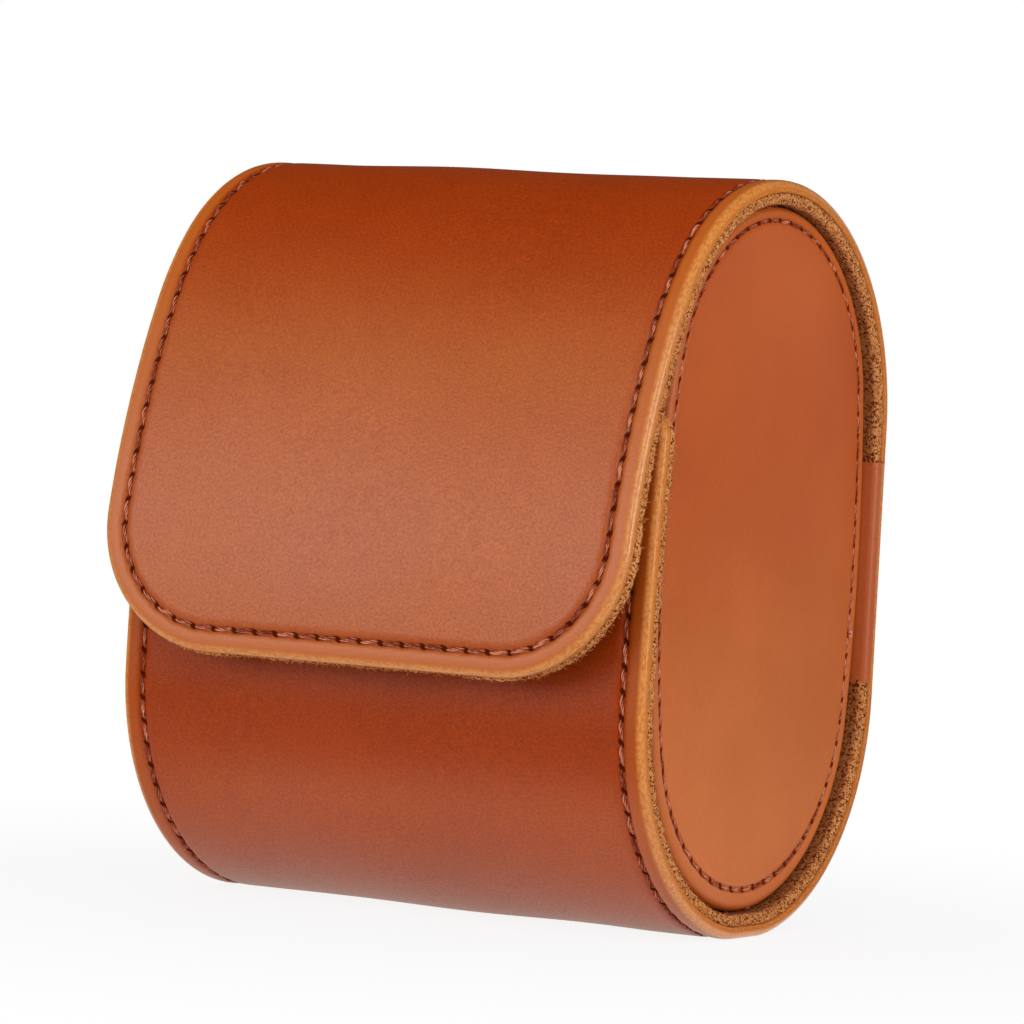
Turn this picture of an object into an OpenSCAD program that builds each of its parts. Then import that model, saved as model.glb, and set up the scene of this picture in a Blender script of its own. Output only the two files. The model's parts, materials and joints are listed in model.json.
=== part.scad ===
// Travel case for one watch: a leather wrap with an oval section stands round an oval pillow.
// Millimetres, +Z up, -Y to the front, where the flap closes. The origin is the foot's middle.
//
// The wrap is a strip that is bent along a chain of arcs and straights. A place on its outer
// face is a pose, [y, z, angle]: the angle is that of the outward normal, 0 at the foot, 90 at
// the back, 180 on top and 270 (or -90) in front.

/* [Case] */
// Width over both rims
case_w = 80.5; // [70:0.5:95]
// Height above what the case stands on
case_h = 100; // [94:0.5:110]
// From the middle of the foot to the face of the back
back_reach = 32.2; // [31:0.1:35]
// From the middle of the foot to the face of the front panel
front_reach = 31.6; // [30.5:0.1:33]
// Width of the flat that the case stands on
foot_w = 6; // [4:0.5:12]
// Radius of the short bend on each side of the foot
foot_bend_r = 18; // [6:0.5:24]
// Turn of that bend, in degrees
foot_bend_turn = 10; // [4:1:16]

/* [Leather] */
// Thickness of the outer leather
leather_t = 1.7; // [1.5:0.1:2.4]
// Thickness of the suede lining
lining_t = 1.5; // [1:0.1:2]
// Radius of the burnished edges along both rims
edge_r = 0.8; // [0.4:0.1:1.2]
// How far the lining's edges lie behind the rims
lining_back = 0.2; // [0:0.1:1]

/* [Front panel] */
// How far below the top of the case the front panel's top edge lies, under the flap
front_drop = 30.5; // [27:0.5:34]
// Radius of the front panel's top corners
front_corner_r = 4; // [2:0.5:12]

/* [Flap] */
// How far below the rounded top the line on the back lies that the flap bends on
bend_drop = 4.6; // [2:0.2:9]
// Radius of the crown, from the top towards the front
crown_r = 29.5; // [28.5:0.5:31]
// Turn of the crown, in degrees
crown_turn = 50; // [46:1:54]
// Radius of the shoulder below the crown
shoulder_r = 42; // [38:1:50]
// Turn of the shoulder, in degrees
shoulder_turn = 15; // [13:1:17]
// Radius of the flap's long front face
flap_face_r = 115; // [100:5:140]
// How far the flap's bottom edge reaches below the front panel's top edge
flap_overlap = 35.5; // [27:0.5:37.5]
// Radius of the flap's corners
flap_corner_r = 18; // [10:0.5:24]
// Clearance between the flap's lining and the front panel's top edge
flap_gap = 0.3; // [0.2:0.1:1]

/* [End panels] */
// How far the end panels lie behind the rims
rim_recess = 1.5; // [0.8:0.1:4]
// Clearance between an end panel and the wrap round it
panel_gap = 0.2; // [0.2:0.1:1.5]
// Radius of an end panel's long sides
panel_side_r = 100; // [80:1:110]
// Thickness of an end panel's outer leather
panel_t = 2; // [1.6:0.1:2.6]
// Radius of an end panel's rounded edge
panel_edge_r = 1.2; // [0.4:0.1:1.4]
// Thickness of the board behind it
board_t = 1.6; // [1:0.1:2.4]
// How far the board's edge lies inside the panel's edge
board_inset = 1.5; // [1:0.1:4]
// Thickness of the panel's inner lining
end_lining_t = 0.8; // [0.6:0.1:1.2]
// How far the inner lining's edge lies inside the panel's edge
end_lining_inset = 0.8; // [0.4:0.1:3]

/* [Spine strip] */
// Thickness of the strip of smooth leather that is let into the lining of the back
strip_t = 0.8; // [0.4:0.1:1]
// How far above the low bend of the back the strip ends. Its upper end is where the flap bends
strip_rise = 1.7; // [0.2:0.1:10]
// How much of the wrap's edge the turned-over strip covers
strip_turn = 2.4; // [1.4:0.1:2.6]
// Radius of the turned-over edge
strip_edge_r = 0.5; // [0.2:0.1:0.5]
// Thickness of the tabs that join the end panels to the strip
tab_t = 1; // [0.6:0.1:1.4]
// How far the tab's ends lie inside those of the strip
tab_inset = 2; // [1:0.5:6]
// Length of a tab's leg along the strip
tab_strip_leg = 9; // [5:0.5:16]
// Clearance between the end of a tab's other leg, along the end panel, and the pillow
tab_pillow_gap = 1.2; // [0.5:0.1:3]

/* [Magnets] */
// Diameter of a magnet disc
magnet_d = 10; // [6:0.5:14]
// Thickness of a magnet disc
magnet_t = 1.4; // [1:0.1:1.6]
// Distance of each magnet from the middle of the case
magnet_x = 20; // [12:1:28]
// How far the magnets lie below the front panel's top edge
magnet_drop = 12.5; // [10:0.5:18]
// How deep a magnet is let into the outer leather
magnet_seat = 0.8; // [0.6:0.1:0.9]
// Clearance round a magnet
magnet_fit = 0.1; // [0.05:0.05:0.2]

/* [Pillow] */
// Room for the strap between the pillow and the front panel's foot
strap_room = 7.4; // [6:0.1:9]
// Room for the watch above the pillow
watch_room = 27.3; // [24:0.1:36]
// Thickness of the suede cover, whose edges are rolled round
cover_t = 1.8; // [1.2:0.1:2.5]
// Thickness of the end patches
pillow_end_t = 1.2; // [0.8:0.1:2]
// How far the end patches lie behind the cover's edges
pillow_end_recess = 1; // [0.2:0.1:2]
// Clearance between the pillow and the case
pillow_gap = 0.3; // [0.2:0.1:1]
// Clearance between the cover and what it holds
cover_fit = 0.1; // [0.05:0.05:0.4]

/* [Hidden] */

LEFT = -1;
RIGHT = 1;
TO_BACK = 1;
TO_FRONT = -1;
FRONT_ANGLE = -90;
BACK_ANGLE = 90;

// Largest turn and largest length between two sections of a bend
section_turn = 4;
section_pitch = 4;
// Points of a rounded edge, and sections round a corner
edge_steps = 4;
corner_steps = 12;
// Points on each arc of an oval's outline
side_steps = 12;
end_steps = 24;
// Fragments of a full turn in discs, and in the pillow's bends and small rounded edges
disc_fn = 96;
edge_fn = 24;

half_w = case_w / 2;
wall = leather_t + lining_t;
bend_z = case_h - back_reach - bend_drop;
front_h = case_h - front_drop;
flap_end_z = front_h - flap_overlap;
magnet_z = front_h - magnet_drop;

leather_colour = [0.66, 0.32, 0.14];
panel_colour = [0.71, 0.36, 0.16];
suede_colour = [0.72, 0.47, 0.28];
strip_colour = [0.62, 0.28, 0.13];
board_colour = [0.45, 0.38, 0.30];
magnet_colour = [0.75, 0.75, 0.77];
foam_colour = [0.85, 0.82, 0.75];

// ---- The chain of bends and straights ----

// A stretch of the chain is [radius, turn], or [0, length] where it is straight.
function bend_centre(pose, r) = [pose[0] - r * sin(pose[2]), pose[1] + r * cos(pose[2])];
function on_bend(centre, r, angle) = [centre[0] + r * sin(angle), centre[1] - r * cos(angle), angle];
function after(pose, stretch, way) =
    stretch[0] == 0
    ? [
        pose[0] + way * stretch[1] * cos(pose[2]),
        pose[1] + way * stretch[1] * sin(pose[2]),
        pose[2]
    ]
    : on_bend(bend_centre(pose, stretch[0]), stretch[0], pose[2] + way * stretch[1]);
function stretch_length(stretch) = stretch[0] == 0 ? stretch[1] : stretch[0] * stretch[1] * PI / 180;
function length_to(chain, n) = n == 0 ? 0 : stretch_length(chain[n - 1]) + length_to(chain, n - 1);
function chain_length(chain) = length_to(chain, len(chain));
// The pose at a distance along the chain
function pose_at(pose, chain, way, distance, i = 0) =
    let (here = stretch_length(chain[i]))
    distance <= here || i == len(chain) - 1
    ? after(pose, [chain[i][0], chain[i][1] * distance / here], way)
    : pose_at(after(pose, chain[i], way), chain, way, distance - here, i + 1);
function end_of(pose, chain, way) = pose_at(pose, chain, way, chain_length(chain));

// Low bends, from the foot to the upright back or front
foot = [0, 0, 0];
foot_side = foot_w / 2 + foot_bend_r * sin(foot_bend_turn);
function low_bend_r(reach) = (reach - foot_side) / (1 - sin(foot_bend_turn));
function low_bends(reach) = [
    [foot_bend_r, foot_bend_turn],
    [low_bend_r(reach), 90 - foot_bend_turn]
];
function half_foot(reach) = concat([[0, foot_w / 2]], low_bends(reach));
back_low_z = end_of(foot, half_foot(back_reach), TO_BACK)[1];
front_low = end_of(foot, half_foot(front_reach), TO_FRONT);

// The flap and the fixed part of the wrap both start at the line that the flap bends on
bend_line = [back_reach, bend_z, BACK_ANGLE];

// Flap: the rest of the straight back, the back of the top, crown, shoulder and long face
flap_over = [
    [0, bend_drop],
    [back_reach, 90],
    [crown_r, crown_turn],
    [shoulder_r, shoulder_turn]
];
flap_face = end_of(bend_line, flap_over, TO_BACK);
flap_face_centre = bend_centre(flap_face, flap_face_r);
// The pose at a height on an upright bend in front, or at a depth below its face
function pose_in_front(centre, r, z, depth = 0) =
    on_bend(centre, r - depth, -acos((centre[1] - z) / (r - depth)));
flap_end_angle = 360 + pose_in_front(flap_face_centre, flap_face_r, flap_end_z)[2];
flap_chain = concat(flap_over, [[flap_face_r, flap_end_angle - flap_face[2]]]);

// Front panel: it leans in until its top edge lies just inside the flap's lining
flap_inner_y = pose_in_front(flap_face_centre, flap_face_r, front_h, wall)[0];
lean_rise = front_h - front_low[1];
lean_in = flap_inner_y + flap_gap - front_low[0];
lean_r = (pow(lean_rise, 2) + pow(lean_in, 2)) / (2 * lean_in);
lean_centre = bend_centre(front_low, lean_r);
case_chain = concat(
    [[0, bend_z - back_low_z]],
    [for (i = [1, 0]) low_bends(back_reach)[i]],
    [[0, foot_w]],
    low_bends(front_reach),
    [[lean_r, asin(lean_rise / lean_r)]]
);

// ---- The end panels fill the cavity ----

mid_z = case_h / 2;
panel_back_y = back_reach - wall - panel_gap;
panel_front_y = pose_in_front(lean_centre, lean_r, mid_z, wall)[0] + panel_gap;
panel_y = (panel_back_y + panel_front_y) / 2;
panel_half_d = (panel_back_y - panel_front_y) / 2;
panel_half_h = mid_z - wall - panel_gap;
panel_out_x = half_w - rim_recess;
board_out_x = panel_out_x - panel_t;
end_lining_out_x = board_out_x - board_t;
inner_x = end_lining_out_x - end_lining_t;

// ---- Spine strip ----

strip_low_z = back_low_z + strip_rise;
strip_h = bend_z - strip_low_z;

// ---- Pillow ----

pillow_half_w = inner_x - pillow_gap;
pillow_base_z = wall + pillow_gap;
pillow_bend_r = front_reach - wall - strap_room;
pillow_side = case_h - wall - watch_room - pillow_base_z - 2 * pillow_bend_r;
core_r = pillow_bend_r - cover_t - cover_fit;
core_half_w = pillow_half_w - pillow_end_recess - pillow_end_t;

// ---- Lofted leather: a strip's cross-sections, and an oval plate's outlines ----

// How far an edge that is rounded with radius r has drawn back, at a distance from its end
function drawn_back(r, distance) =
    distance >= r ? 0 : r - sqrt(max(0, r * r - pow(r - distance, 2)));

// Distances along the chain at which a strip has a section. They lie closer round its corners.
function bend_marks(chain) = [
    for (i = [0 : len(chain) - 1])
        let (
            length = stretch_length(chain[i]),
            steps = chain[i][0] == 0 ? 1 : ceil(max(chain[i][1] / section_turn, length / section_pitch))
        )
        for (k = [0 : steps - 1])
            length_to(chain, i) + length * k / steps
];
function end_marks(r, steps, shortest) = [
    for (k = [0 : steps])
        let (left = r * (1 - sin(90 * k / steps)))
        if (left >= shortest) left
];
function strip_marks(chain, end, corner_r, r) = concat(
    [for (mark = bend_marks(chain)) if (mark < end - corner_r - section_pitch / 4) mark],
    [for (left = end_marks(corner_r, corner_steps, r > 0 ? 2 * r : 0)) end - left],
    [for (left = r > 0 ? end_marks(r, edge_steps, 0) : []) end - left]
);

// Section of a layer in a pose: [depth below the wrap's face, X] of each point, outer edges rounded
function section(top, bottom, half_width, r) = concat(
    [[bottom, -half_width], [bottom, half_width]],
    r == 0
    ? [[top, half_width], [top, -half_width]]
    : [
        for (side = [RIGHT, LEFT])
            for (k = [0 : edge_steps])
                let (turn = 90 * (side == RIGHT ? k : edge_steps - k) / edge_steps)
                [top + r * (1 - sin(turn)), side * (half_width - r * (1 - cos(turn)))]
    ]
);
function placed(points, pose) = [
    for (p = points)
        [p[1], pose[0] - p[0] * sin(pose[2]), pose[1] + p[0] * cos(pose[2])]
];

module loft(rings) {
    n = len(rings[0]);
    sides = [
        for (i = [0 : len(rings) - 2])
            for (j = [0 : n - 1])
                let (near = i * n, far = near + n, next = (j + 1) % n)
                for (triangle = [[near + j, near + next, far + next], [near + j, far + next, far + j]])
                    triangle
    ];
    first_cap = [for (j = [0 : n - 1]) n - 1 - j];
    last_cap = [for (j = [0 : n - 1]) (len(rings) - 1) * n + j];
    polyhedron([for (ring = rings) each ring], concat([first_cap], sides, [last_cap]));
}

// One layer of the wrap along a chain, from a depth below its face and t thick
module strip(chain, way, depth, t, back = 0, corner_r, r = 0) {
    end = chain_length(chain) - back;
    rings = [
        for (mark = strip_marks(chain, end, corner_r - back, r))
            placed(
                section(
                    depth + drawn_back(r, end - mark),
                    depth + t,
                    half_w - back - drawn_back(corner_r - back, end - mark),
                    r
                ),
                pose_at(bend_line, chain, way, mark)
            )
    ];
    loft(way == TO_BACK ? [for (i = [len(rings) - 1 : -1 : 0]) rings[i]] : rings);
}

// Outline of an oval: two end arcs and two long side arcs that meet smoothly
function oval_end_r(a, b, side_r) = (2 * side_r * a - a * a - b * b) / (2 * (side_r - b));
function oval_points(a, b, side_r) =
    let (
        end_r = oval_end_r(a, b, side_r),
        side_turn = atan2(b - end_r, side_r - a),
        arcs = [
            [[0, end_r - b], end_r, side_turn - 90, 90 - side_turn, end_steps],
            [[a - side_r, 0], side_r, 90 - side_turn, 90 + side_turn, side_steps],
            [[0, b - end_r], end_r, 90 + side_turn, 270 - side_turn, end_steps],
            [[side_r - a, 0], side_r, 270 - side_turn, 270 + side_turn, side_steps]
        ]
    )
    [
        for (arc = arcs)
            for (k = [0 : arc[4] - 1])
                on_bend(arc[0], arc[1], arc[2] + (arc[3] - arc[2]) * k / arc[4])
    ];

// Oval plate from x = 0 to x = t, its edge rounded on the outer face
module oval_plate(inset, t, r = 0) {
    levels = r == 0 ? [[0, 0], [t, 0]] : concat(
        [[0, 0]],
        [
            for (k = [0 : edge_steps])
                let (turn = 90 * k / edge_steps)
                [t - r * (1 - sin(turn)), r * (1 - cos(turn))]
        ]
    );
    loft([
        for (level = levels)
            let (in = inset + level[1])
            [
                for (p = oval_points(panel_half_d - in, panel_half_h - in, panel_side_r - in))
                    [level[0], panel_y + p[0], mid_z + p[1]]
            ]
    ]);
}

// ---- Shared forms ----

// In a pose's own frame X is the outward normal, Y runs along the wrap and Z is the case's X
module in_pose(pose) {
    translate([0, pose[0], pose[1]])
        rotate([0, 90, 0])
            rotate([0, 0, pose[2]])
                children();
}

// Puts a plate that faces +X on one end of the case, its inner face at x
module on_end(side, x) {
    mirror([side == LEFT ? 1 : 0, 0, 0])
        translate([x, 0, 0])
            children();
}

module end_plate(side, x, inset, t, r = 0) {
    on_end(side, x)
        oval_plate(inset, t, r);
}

// A disc let into the layers at a pose, grown by a clearance
module disc_at(pose, side, fit = 0) {
    in_pose(pose)
        translate([-leather_t + magnet_seat - magnet_t - fit, 0, side * magnet_x])
            rotate([0, 90, 0])
                cylinder(h = magnet_t + 2 * fit, d = magnet_d + 2 * fit, $fn = disc_fn);
}

flap_magnet_pose = pose_in_front(flap_face_centre, flap_face_r, magnet_z);
front_magnet_pose = pose_in_front(lean_centre, lean_r, magnet_z);

module disc_seats(pose) {
    for (side = [LEFT, RIGHT])
        disc_at(pose, side, magnet_fit);
}

// The strip lies flush in the lining of the straight back and turns over both rims
module spine_form() {
    inner_y = back_reach - wall;
    translate([0, 0, strip_low_z])
        linear_extrude(strip_h) {
            translate([strip_edge_r - half_w, inner_y])
                square([case_w - 2 * strip_edge_r, strip_t]);
            for (side = [LEFT, RIGHT])
                mirror([side == LEFT ? 1 : 0, 0]) {
                    translate([half_w - strip_t, inner_y + strip_edge_r])
                        square([strip_t, strip_turn - strip_edge_r]);
                    translate([half_w - strip_edge_r, inner_y + strip_edge_r])
                        circle(strip_edge_r, $fn = edge_fn);
                }
        }
}

module end_tab(side) {
    strip_y = back_reach - wall;
    panel_leg = strip_y - pillow_bend_r - tab_pillow_gap;
    on_end(side, inner_x)
        translate([0, strip_y, strip_low_z + tab_inset])
            linear_extrude(strip_h - 2 * tab_inset)
                polygon([
                    [0, 0],
                    [-tab_strip_leg, 0],
                    [-tab_strip_leg, -tab_t],
                    [-tab_t, -tab_t],
                    [-tab_t, -panel_leg],
                    [0, -panel_leg]
                ]);
}

// ---- Case ----

module case_leather() color(leather_colour)
    difference() {
        strip(case_chain, TO_FRONT, 0, leather_t, 0, front_corner_r, edge_r);
        spine_form();
        disc_seats(front_magnet_pose);
    }

module case_lining() color(suede_colour)
    difference() {
        strip(case_chain, TO_FRONT, leather_t, lining_t, lining_back, front_corner_r);
        spine_form();
        disc_seats(front_magnet_pose);
    }

module spine_strip() color(strip_colour)
    spine_form();

module end_panel_left() color(panel_colour)
    end_plate(LEFT, board_out_x, 0, panel_t, panel_edge_r);

module end_panel_right() color(panel_colour)
    end_plate(RIGHT, board_out_x, 0, panel_t, panel_edge_r);

module end_board_left() color(board_colour)
    end_plate(LEFT, end_lining_out_x, board_inset, board_t);

module end_board_right() color(board_colour)
    end_plate(RIGHT, end_lining_out_x, board_inset, board_t);

module end_lining_left() color(suede_colour)
    end_plate(LEFT, inner_x, end_lining_inset, end_lining_t);

module end_lining_right() color(suede_colour)
    end_plate(RIGHT, inner_x, end_lining_inset, end_lining_t);

module end_tab_left() color(strip_colour)
    end_tab(LEFT);

module end_tab_right() color(strip_colour)
    end_tab(RIGHT);

module case_magnet_left() color(magnet_colour)
    disc_at(front_magnet_pose, LEFT);

module case_magnet_right() color(magnet_colour)
    disc_at(front_magnet_pose, RIGHT);

// ---- Flap ----

module flap_leather() color(leather_colour)
    difference() {
        strip(flap_chain, TO_BACK, 0, leather_t, 0, flap_corner_r, edge_r);
        disc_seats(flap_magnet_pose);
    }

module flap_lining() color(suede_colour)
    difference() {
        strip(flap_chain, TO_BACK, leather_t, lining_t, lining_back, flap_corner_r);
        disc_seats(flap_magnet_pose);
    }

module flap_magnet_left() color(magnet_colour)
    disc_at(flap_magnet_pose, LEFT);

module flap_magnet_right() color(magnet_colour)
    disc_at(flap_magnet_pose, RIGHT);

// ---- Pillow ----

// Cross-section of the cover, [distance from a bend's centre, X], with its two edges rolled round
module cover_profile() {
    roll_r = cover_t / 2;
    roll_x = pillow_half_w - roll_r;
    translate([pillow_bend_r - cover_t, -roll_x])
        square([cover_t, 2 * roll_x]);
    for (side = [LEFT, RIGHT])
        translate([pillow_bend_r - roll_r, side * roll_x])
            circle(roll_r, $fn = edge_fn);
}

module pillow_plate(x0, x1) {
    for (rise = [0, pillow_side])
        translate([x0, 0, pillow_base_z + pillow_bend_r + rise])
            rotate([0, 90, 0])
                cylinder(h = x1 - x0, r = core_r, $fn = disc_fn);
    translate([x0, -core_r, pillow_base_z + pillow_bend_r])
        cube([x1 - x0, 2 * core_r, pillow_side]);
}

module pillow_core() color(foam_colour)
    pillow_plate(-core_half_w, core_half_w);

module pillow_cover() color(suede_colour)
    for (bend = [[0, FRONT_ANGLE], [pillow_side, BACK_ANGLE]])
        in_pose([0, pillow_base_z + pillow_bend_r + bend[0], bend[1]]) {
            rotate_extrude(angle = 180, $fn = disc_fn)
                cover_profile();
            rotate([90, 0, 0])
                linear_extrude(pillow_side)
                    cover_profile();
        }

module pillow_end_left() color(suede_colour)
    pillow_plate(-core_half_w - pillow_end_t, -core_half_w);

module pillow_end_right() color(suede_colour)
    pillow_plate(core_half_w, core_half_w + pillow_end_t);

case_leather();
case_lining();
spine_strip();
end_panel_left();
end_panel_right();
end_board_left();
end_board_right();
end_lining_left();
end_lining_right();
end_tab_left();
end_tab_right();
case_magnet_left();
case_magnet_right();
flap_leather();
flap_lining();
flap_magnet_left();
flap_magnet_right();
pillow_core();
pillow_cover();
pillow_end_left();
pillow_end_right();
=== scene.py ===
"""Travel case for one watch: leather, suede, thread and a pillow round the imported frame.

Sizes are millimetres until a mesh is made. A place on the wrap is (across, along, depth): across the
case from its middle, along the leather from the line that the flap bends on, and below its face.
"""

import json
import math

import bmesh
import bpy
import numpy as np
from mathutils import Matrix, Vector, noise
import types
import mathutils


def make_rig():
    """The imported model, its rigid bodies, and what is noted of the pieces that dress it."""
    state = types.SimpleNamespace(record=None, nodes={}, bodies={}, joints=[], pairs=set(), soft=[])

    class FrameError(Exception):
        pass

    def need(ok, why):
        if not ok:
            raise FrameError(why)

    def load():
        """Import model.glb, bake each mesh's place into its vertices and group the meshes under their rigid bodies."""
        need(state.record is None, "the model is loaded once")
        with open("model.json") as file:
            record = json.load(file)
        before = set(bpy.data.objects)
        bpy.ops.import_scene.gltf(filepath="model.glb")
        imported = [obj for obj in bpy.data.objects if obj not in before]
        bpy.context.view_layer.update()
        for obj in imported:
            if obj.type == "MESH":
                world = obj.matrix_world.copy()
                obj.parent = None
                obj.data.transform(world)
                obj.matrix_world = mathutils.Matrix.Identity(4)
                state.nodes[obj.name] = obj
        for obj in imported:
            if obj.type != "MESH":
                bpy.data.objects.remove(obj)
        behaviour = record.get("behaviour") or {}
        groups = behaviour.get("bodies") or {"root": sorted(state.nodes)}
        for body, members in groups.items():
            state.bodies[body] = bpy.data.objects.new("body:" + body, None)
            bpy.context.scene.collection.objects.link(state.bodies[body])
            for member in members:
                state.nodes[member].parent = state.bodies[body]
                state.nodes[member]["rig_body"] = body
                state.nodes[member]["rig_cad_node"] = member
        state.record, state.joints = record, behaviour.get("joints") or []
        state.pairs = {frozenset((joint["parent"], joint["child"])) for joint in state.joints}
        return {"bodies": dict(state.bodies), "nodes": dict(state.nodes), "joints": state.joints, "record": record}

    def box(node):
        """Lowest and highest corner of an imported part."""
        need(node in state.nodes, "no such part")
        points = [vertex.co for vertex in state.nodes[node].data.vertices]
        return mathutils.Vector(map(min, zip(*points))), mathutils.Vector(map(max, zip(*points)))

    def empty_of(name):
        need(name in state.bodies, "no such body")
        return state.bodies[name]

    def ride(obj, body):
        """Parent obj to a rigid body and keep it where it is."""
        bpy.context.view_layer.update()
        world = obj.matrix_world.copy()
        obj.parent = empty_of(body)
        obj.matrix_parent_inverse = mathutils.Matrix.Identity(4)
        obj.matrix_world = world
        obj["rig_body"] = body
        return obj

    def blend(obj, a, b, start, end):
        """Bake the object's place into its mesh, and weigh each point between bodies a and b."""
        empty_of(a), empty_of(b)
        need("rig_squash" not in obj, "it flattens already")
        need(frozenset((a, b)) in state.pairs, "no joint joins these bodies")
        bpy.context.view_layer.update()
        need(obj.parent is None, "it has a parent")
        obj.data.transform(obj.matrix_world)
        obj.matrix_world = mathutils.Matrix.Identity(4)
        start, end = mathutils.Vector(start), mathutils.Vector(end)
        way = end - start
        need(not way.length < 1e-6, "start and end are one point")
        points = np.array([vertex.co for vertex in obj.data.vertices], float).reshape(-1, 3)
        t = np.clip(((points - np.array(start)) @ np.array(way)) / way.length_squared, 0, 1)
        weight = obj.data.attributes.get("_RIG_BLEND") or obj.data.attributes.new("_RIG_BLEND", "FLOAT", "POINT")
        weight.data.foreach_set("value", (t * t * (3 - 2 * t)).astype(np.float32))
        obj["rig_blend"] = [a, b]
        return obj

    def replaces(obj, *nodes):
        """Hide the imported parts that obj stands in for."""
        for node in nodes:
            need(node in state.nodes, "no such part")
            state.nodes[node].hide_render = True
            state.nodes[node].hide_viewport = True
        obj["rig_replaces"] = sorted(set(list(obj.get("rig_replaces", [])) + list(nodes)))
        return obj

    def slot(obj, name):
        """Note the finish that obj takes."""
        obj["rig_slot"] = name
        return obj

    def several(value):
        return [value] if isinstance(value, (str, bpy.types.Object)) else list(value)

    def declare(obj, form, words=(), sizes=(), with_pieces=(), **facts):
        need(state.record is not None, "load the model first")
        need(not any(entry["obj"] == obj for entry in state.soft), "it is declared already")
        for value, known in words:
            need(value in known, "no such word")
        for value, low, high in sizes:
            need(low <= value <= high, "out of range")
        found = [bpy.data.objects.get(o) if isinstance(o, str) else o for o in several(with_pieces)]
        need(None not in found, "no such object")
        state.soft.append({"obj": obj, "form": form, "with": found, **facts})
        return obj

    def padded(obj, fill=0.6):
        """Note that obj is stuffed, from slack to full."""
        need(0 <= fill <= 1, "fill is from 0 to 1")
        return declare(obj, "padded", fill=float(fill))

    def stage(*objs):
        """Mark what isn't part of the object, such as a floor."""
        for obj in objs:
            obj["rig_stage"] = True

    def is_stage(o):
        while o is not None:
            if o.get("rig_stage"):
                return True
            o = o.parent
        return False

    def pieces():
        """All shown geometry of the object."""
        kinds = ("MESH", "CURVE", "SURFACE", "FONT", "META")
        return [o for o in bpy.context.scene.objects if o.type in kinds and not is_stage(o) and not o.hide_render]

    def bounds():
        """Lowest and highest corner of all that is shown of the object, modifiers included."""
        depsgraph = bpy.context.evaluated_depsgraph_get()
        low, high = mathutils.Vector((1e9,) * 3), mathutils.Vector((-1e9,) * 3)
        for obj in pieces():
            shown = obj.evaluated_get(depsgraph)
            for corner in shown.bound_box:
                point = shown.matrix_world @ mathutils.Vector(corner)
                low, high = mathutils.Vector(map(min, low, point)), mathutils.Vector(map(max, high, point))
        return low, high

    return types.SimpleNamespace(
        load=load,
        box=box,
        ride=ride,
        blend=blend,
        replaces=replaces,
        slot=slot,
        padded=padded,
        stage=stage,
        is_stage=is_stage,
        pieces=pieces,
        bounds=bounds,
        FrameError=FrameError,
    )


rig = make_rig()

bl_info = {
    "name": "Watch travel case",
    "version": (1, 0, 0),
    "blender": (4, 5, 0),
    "location": "3D View > Sidebar > Watch case",
    "description": "Dresses a leather travel case for one watch",
    "category": "Add Mesh",
}

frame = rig.load()

MM = 0.001
LEFT, RIGHT = -1, 1
CASE, FLAP, PILLOW = "case", "flap", "pillow"
# The flap turns into its swing over this reach of the upper back, its lining later than its leather
BEND_REACH = Vector((0, -0.0074, 0.0095))
LEATHER_BEND = Vector((0, 0.03135, 0.0632))
LINING_BEND = Vector((0, 0.02975, 0.0656))


def low_and_high(node):
    """Lowest and highest corner of a CAD node, in millimetres."""
    low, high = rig.box(node)
    return np.array(low) / MM, np.array(high) / MM


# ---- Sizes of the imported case, in millimetres ----

HALF_W = low_and_high("case_leather")[1][0]
CASE_H = low_and_high("flap_leather")[1][2]
BACK_REACH = low_and_high("case_leather")[1][1]
FRONT_REACH = 31.6
FOOT_W = 6
FOOT_BEND = (18, 10)
LEATHER_T = 1.7
LINING_T = 1.5
WALL = LEATHER_T + LINING_T
FRONT_H = 69.5
FRONT_CORNER_R = 4
FLAP_GAP = 0.3
CROWN = (29.5, 50)
SHOULDER = (42, 15)
FLAP_FACE_R = 115
FLAP_END_Z = low_and_high("flap_leather")[0][2]
FLAP_CORNER_R = 18
PANEL_LOW, PANEL_HIGH = low_and_high("end_panel_right")
PANEL_X = PANEL_HIGH[0]
PANEL_Y, PANEL_Z = (PANEL_LOW[1:] + PANEL_HIGH[1:]) / 2
PANEL_HALF_D, PANEL_HALF_H = (PANEL_HIGH[1:] - PANEL_LOW[1:]) / 2
PANEL_BACK_R, PANEL_FRONT_R = 200, 125
PANEL_SWELL = 0.15
THREAD_END_Z = 39
STRIP_LOW, STRIP_HIGH = low_and_high("spine_strip")
BEND_Z = STRIP_HIGH[2]
PILLOW_LOW, PILLOW_HIGH = low_and_high("pillow_cover")


# ---- Shader maths ----


def connect(entry, value):
    """Links a Value to an input socket, or sets the socket to a plain value."""
    if isinstance(value, Value):
        entry.id_data.links.new(value.socket, entry)
    elif isinstance(value, (tuple, list)) and entry.type == "RGBA" and len(value) == 3:
        entry.default_value = (*value, 1)
    else:
        entry.default_value = value


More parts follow.
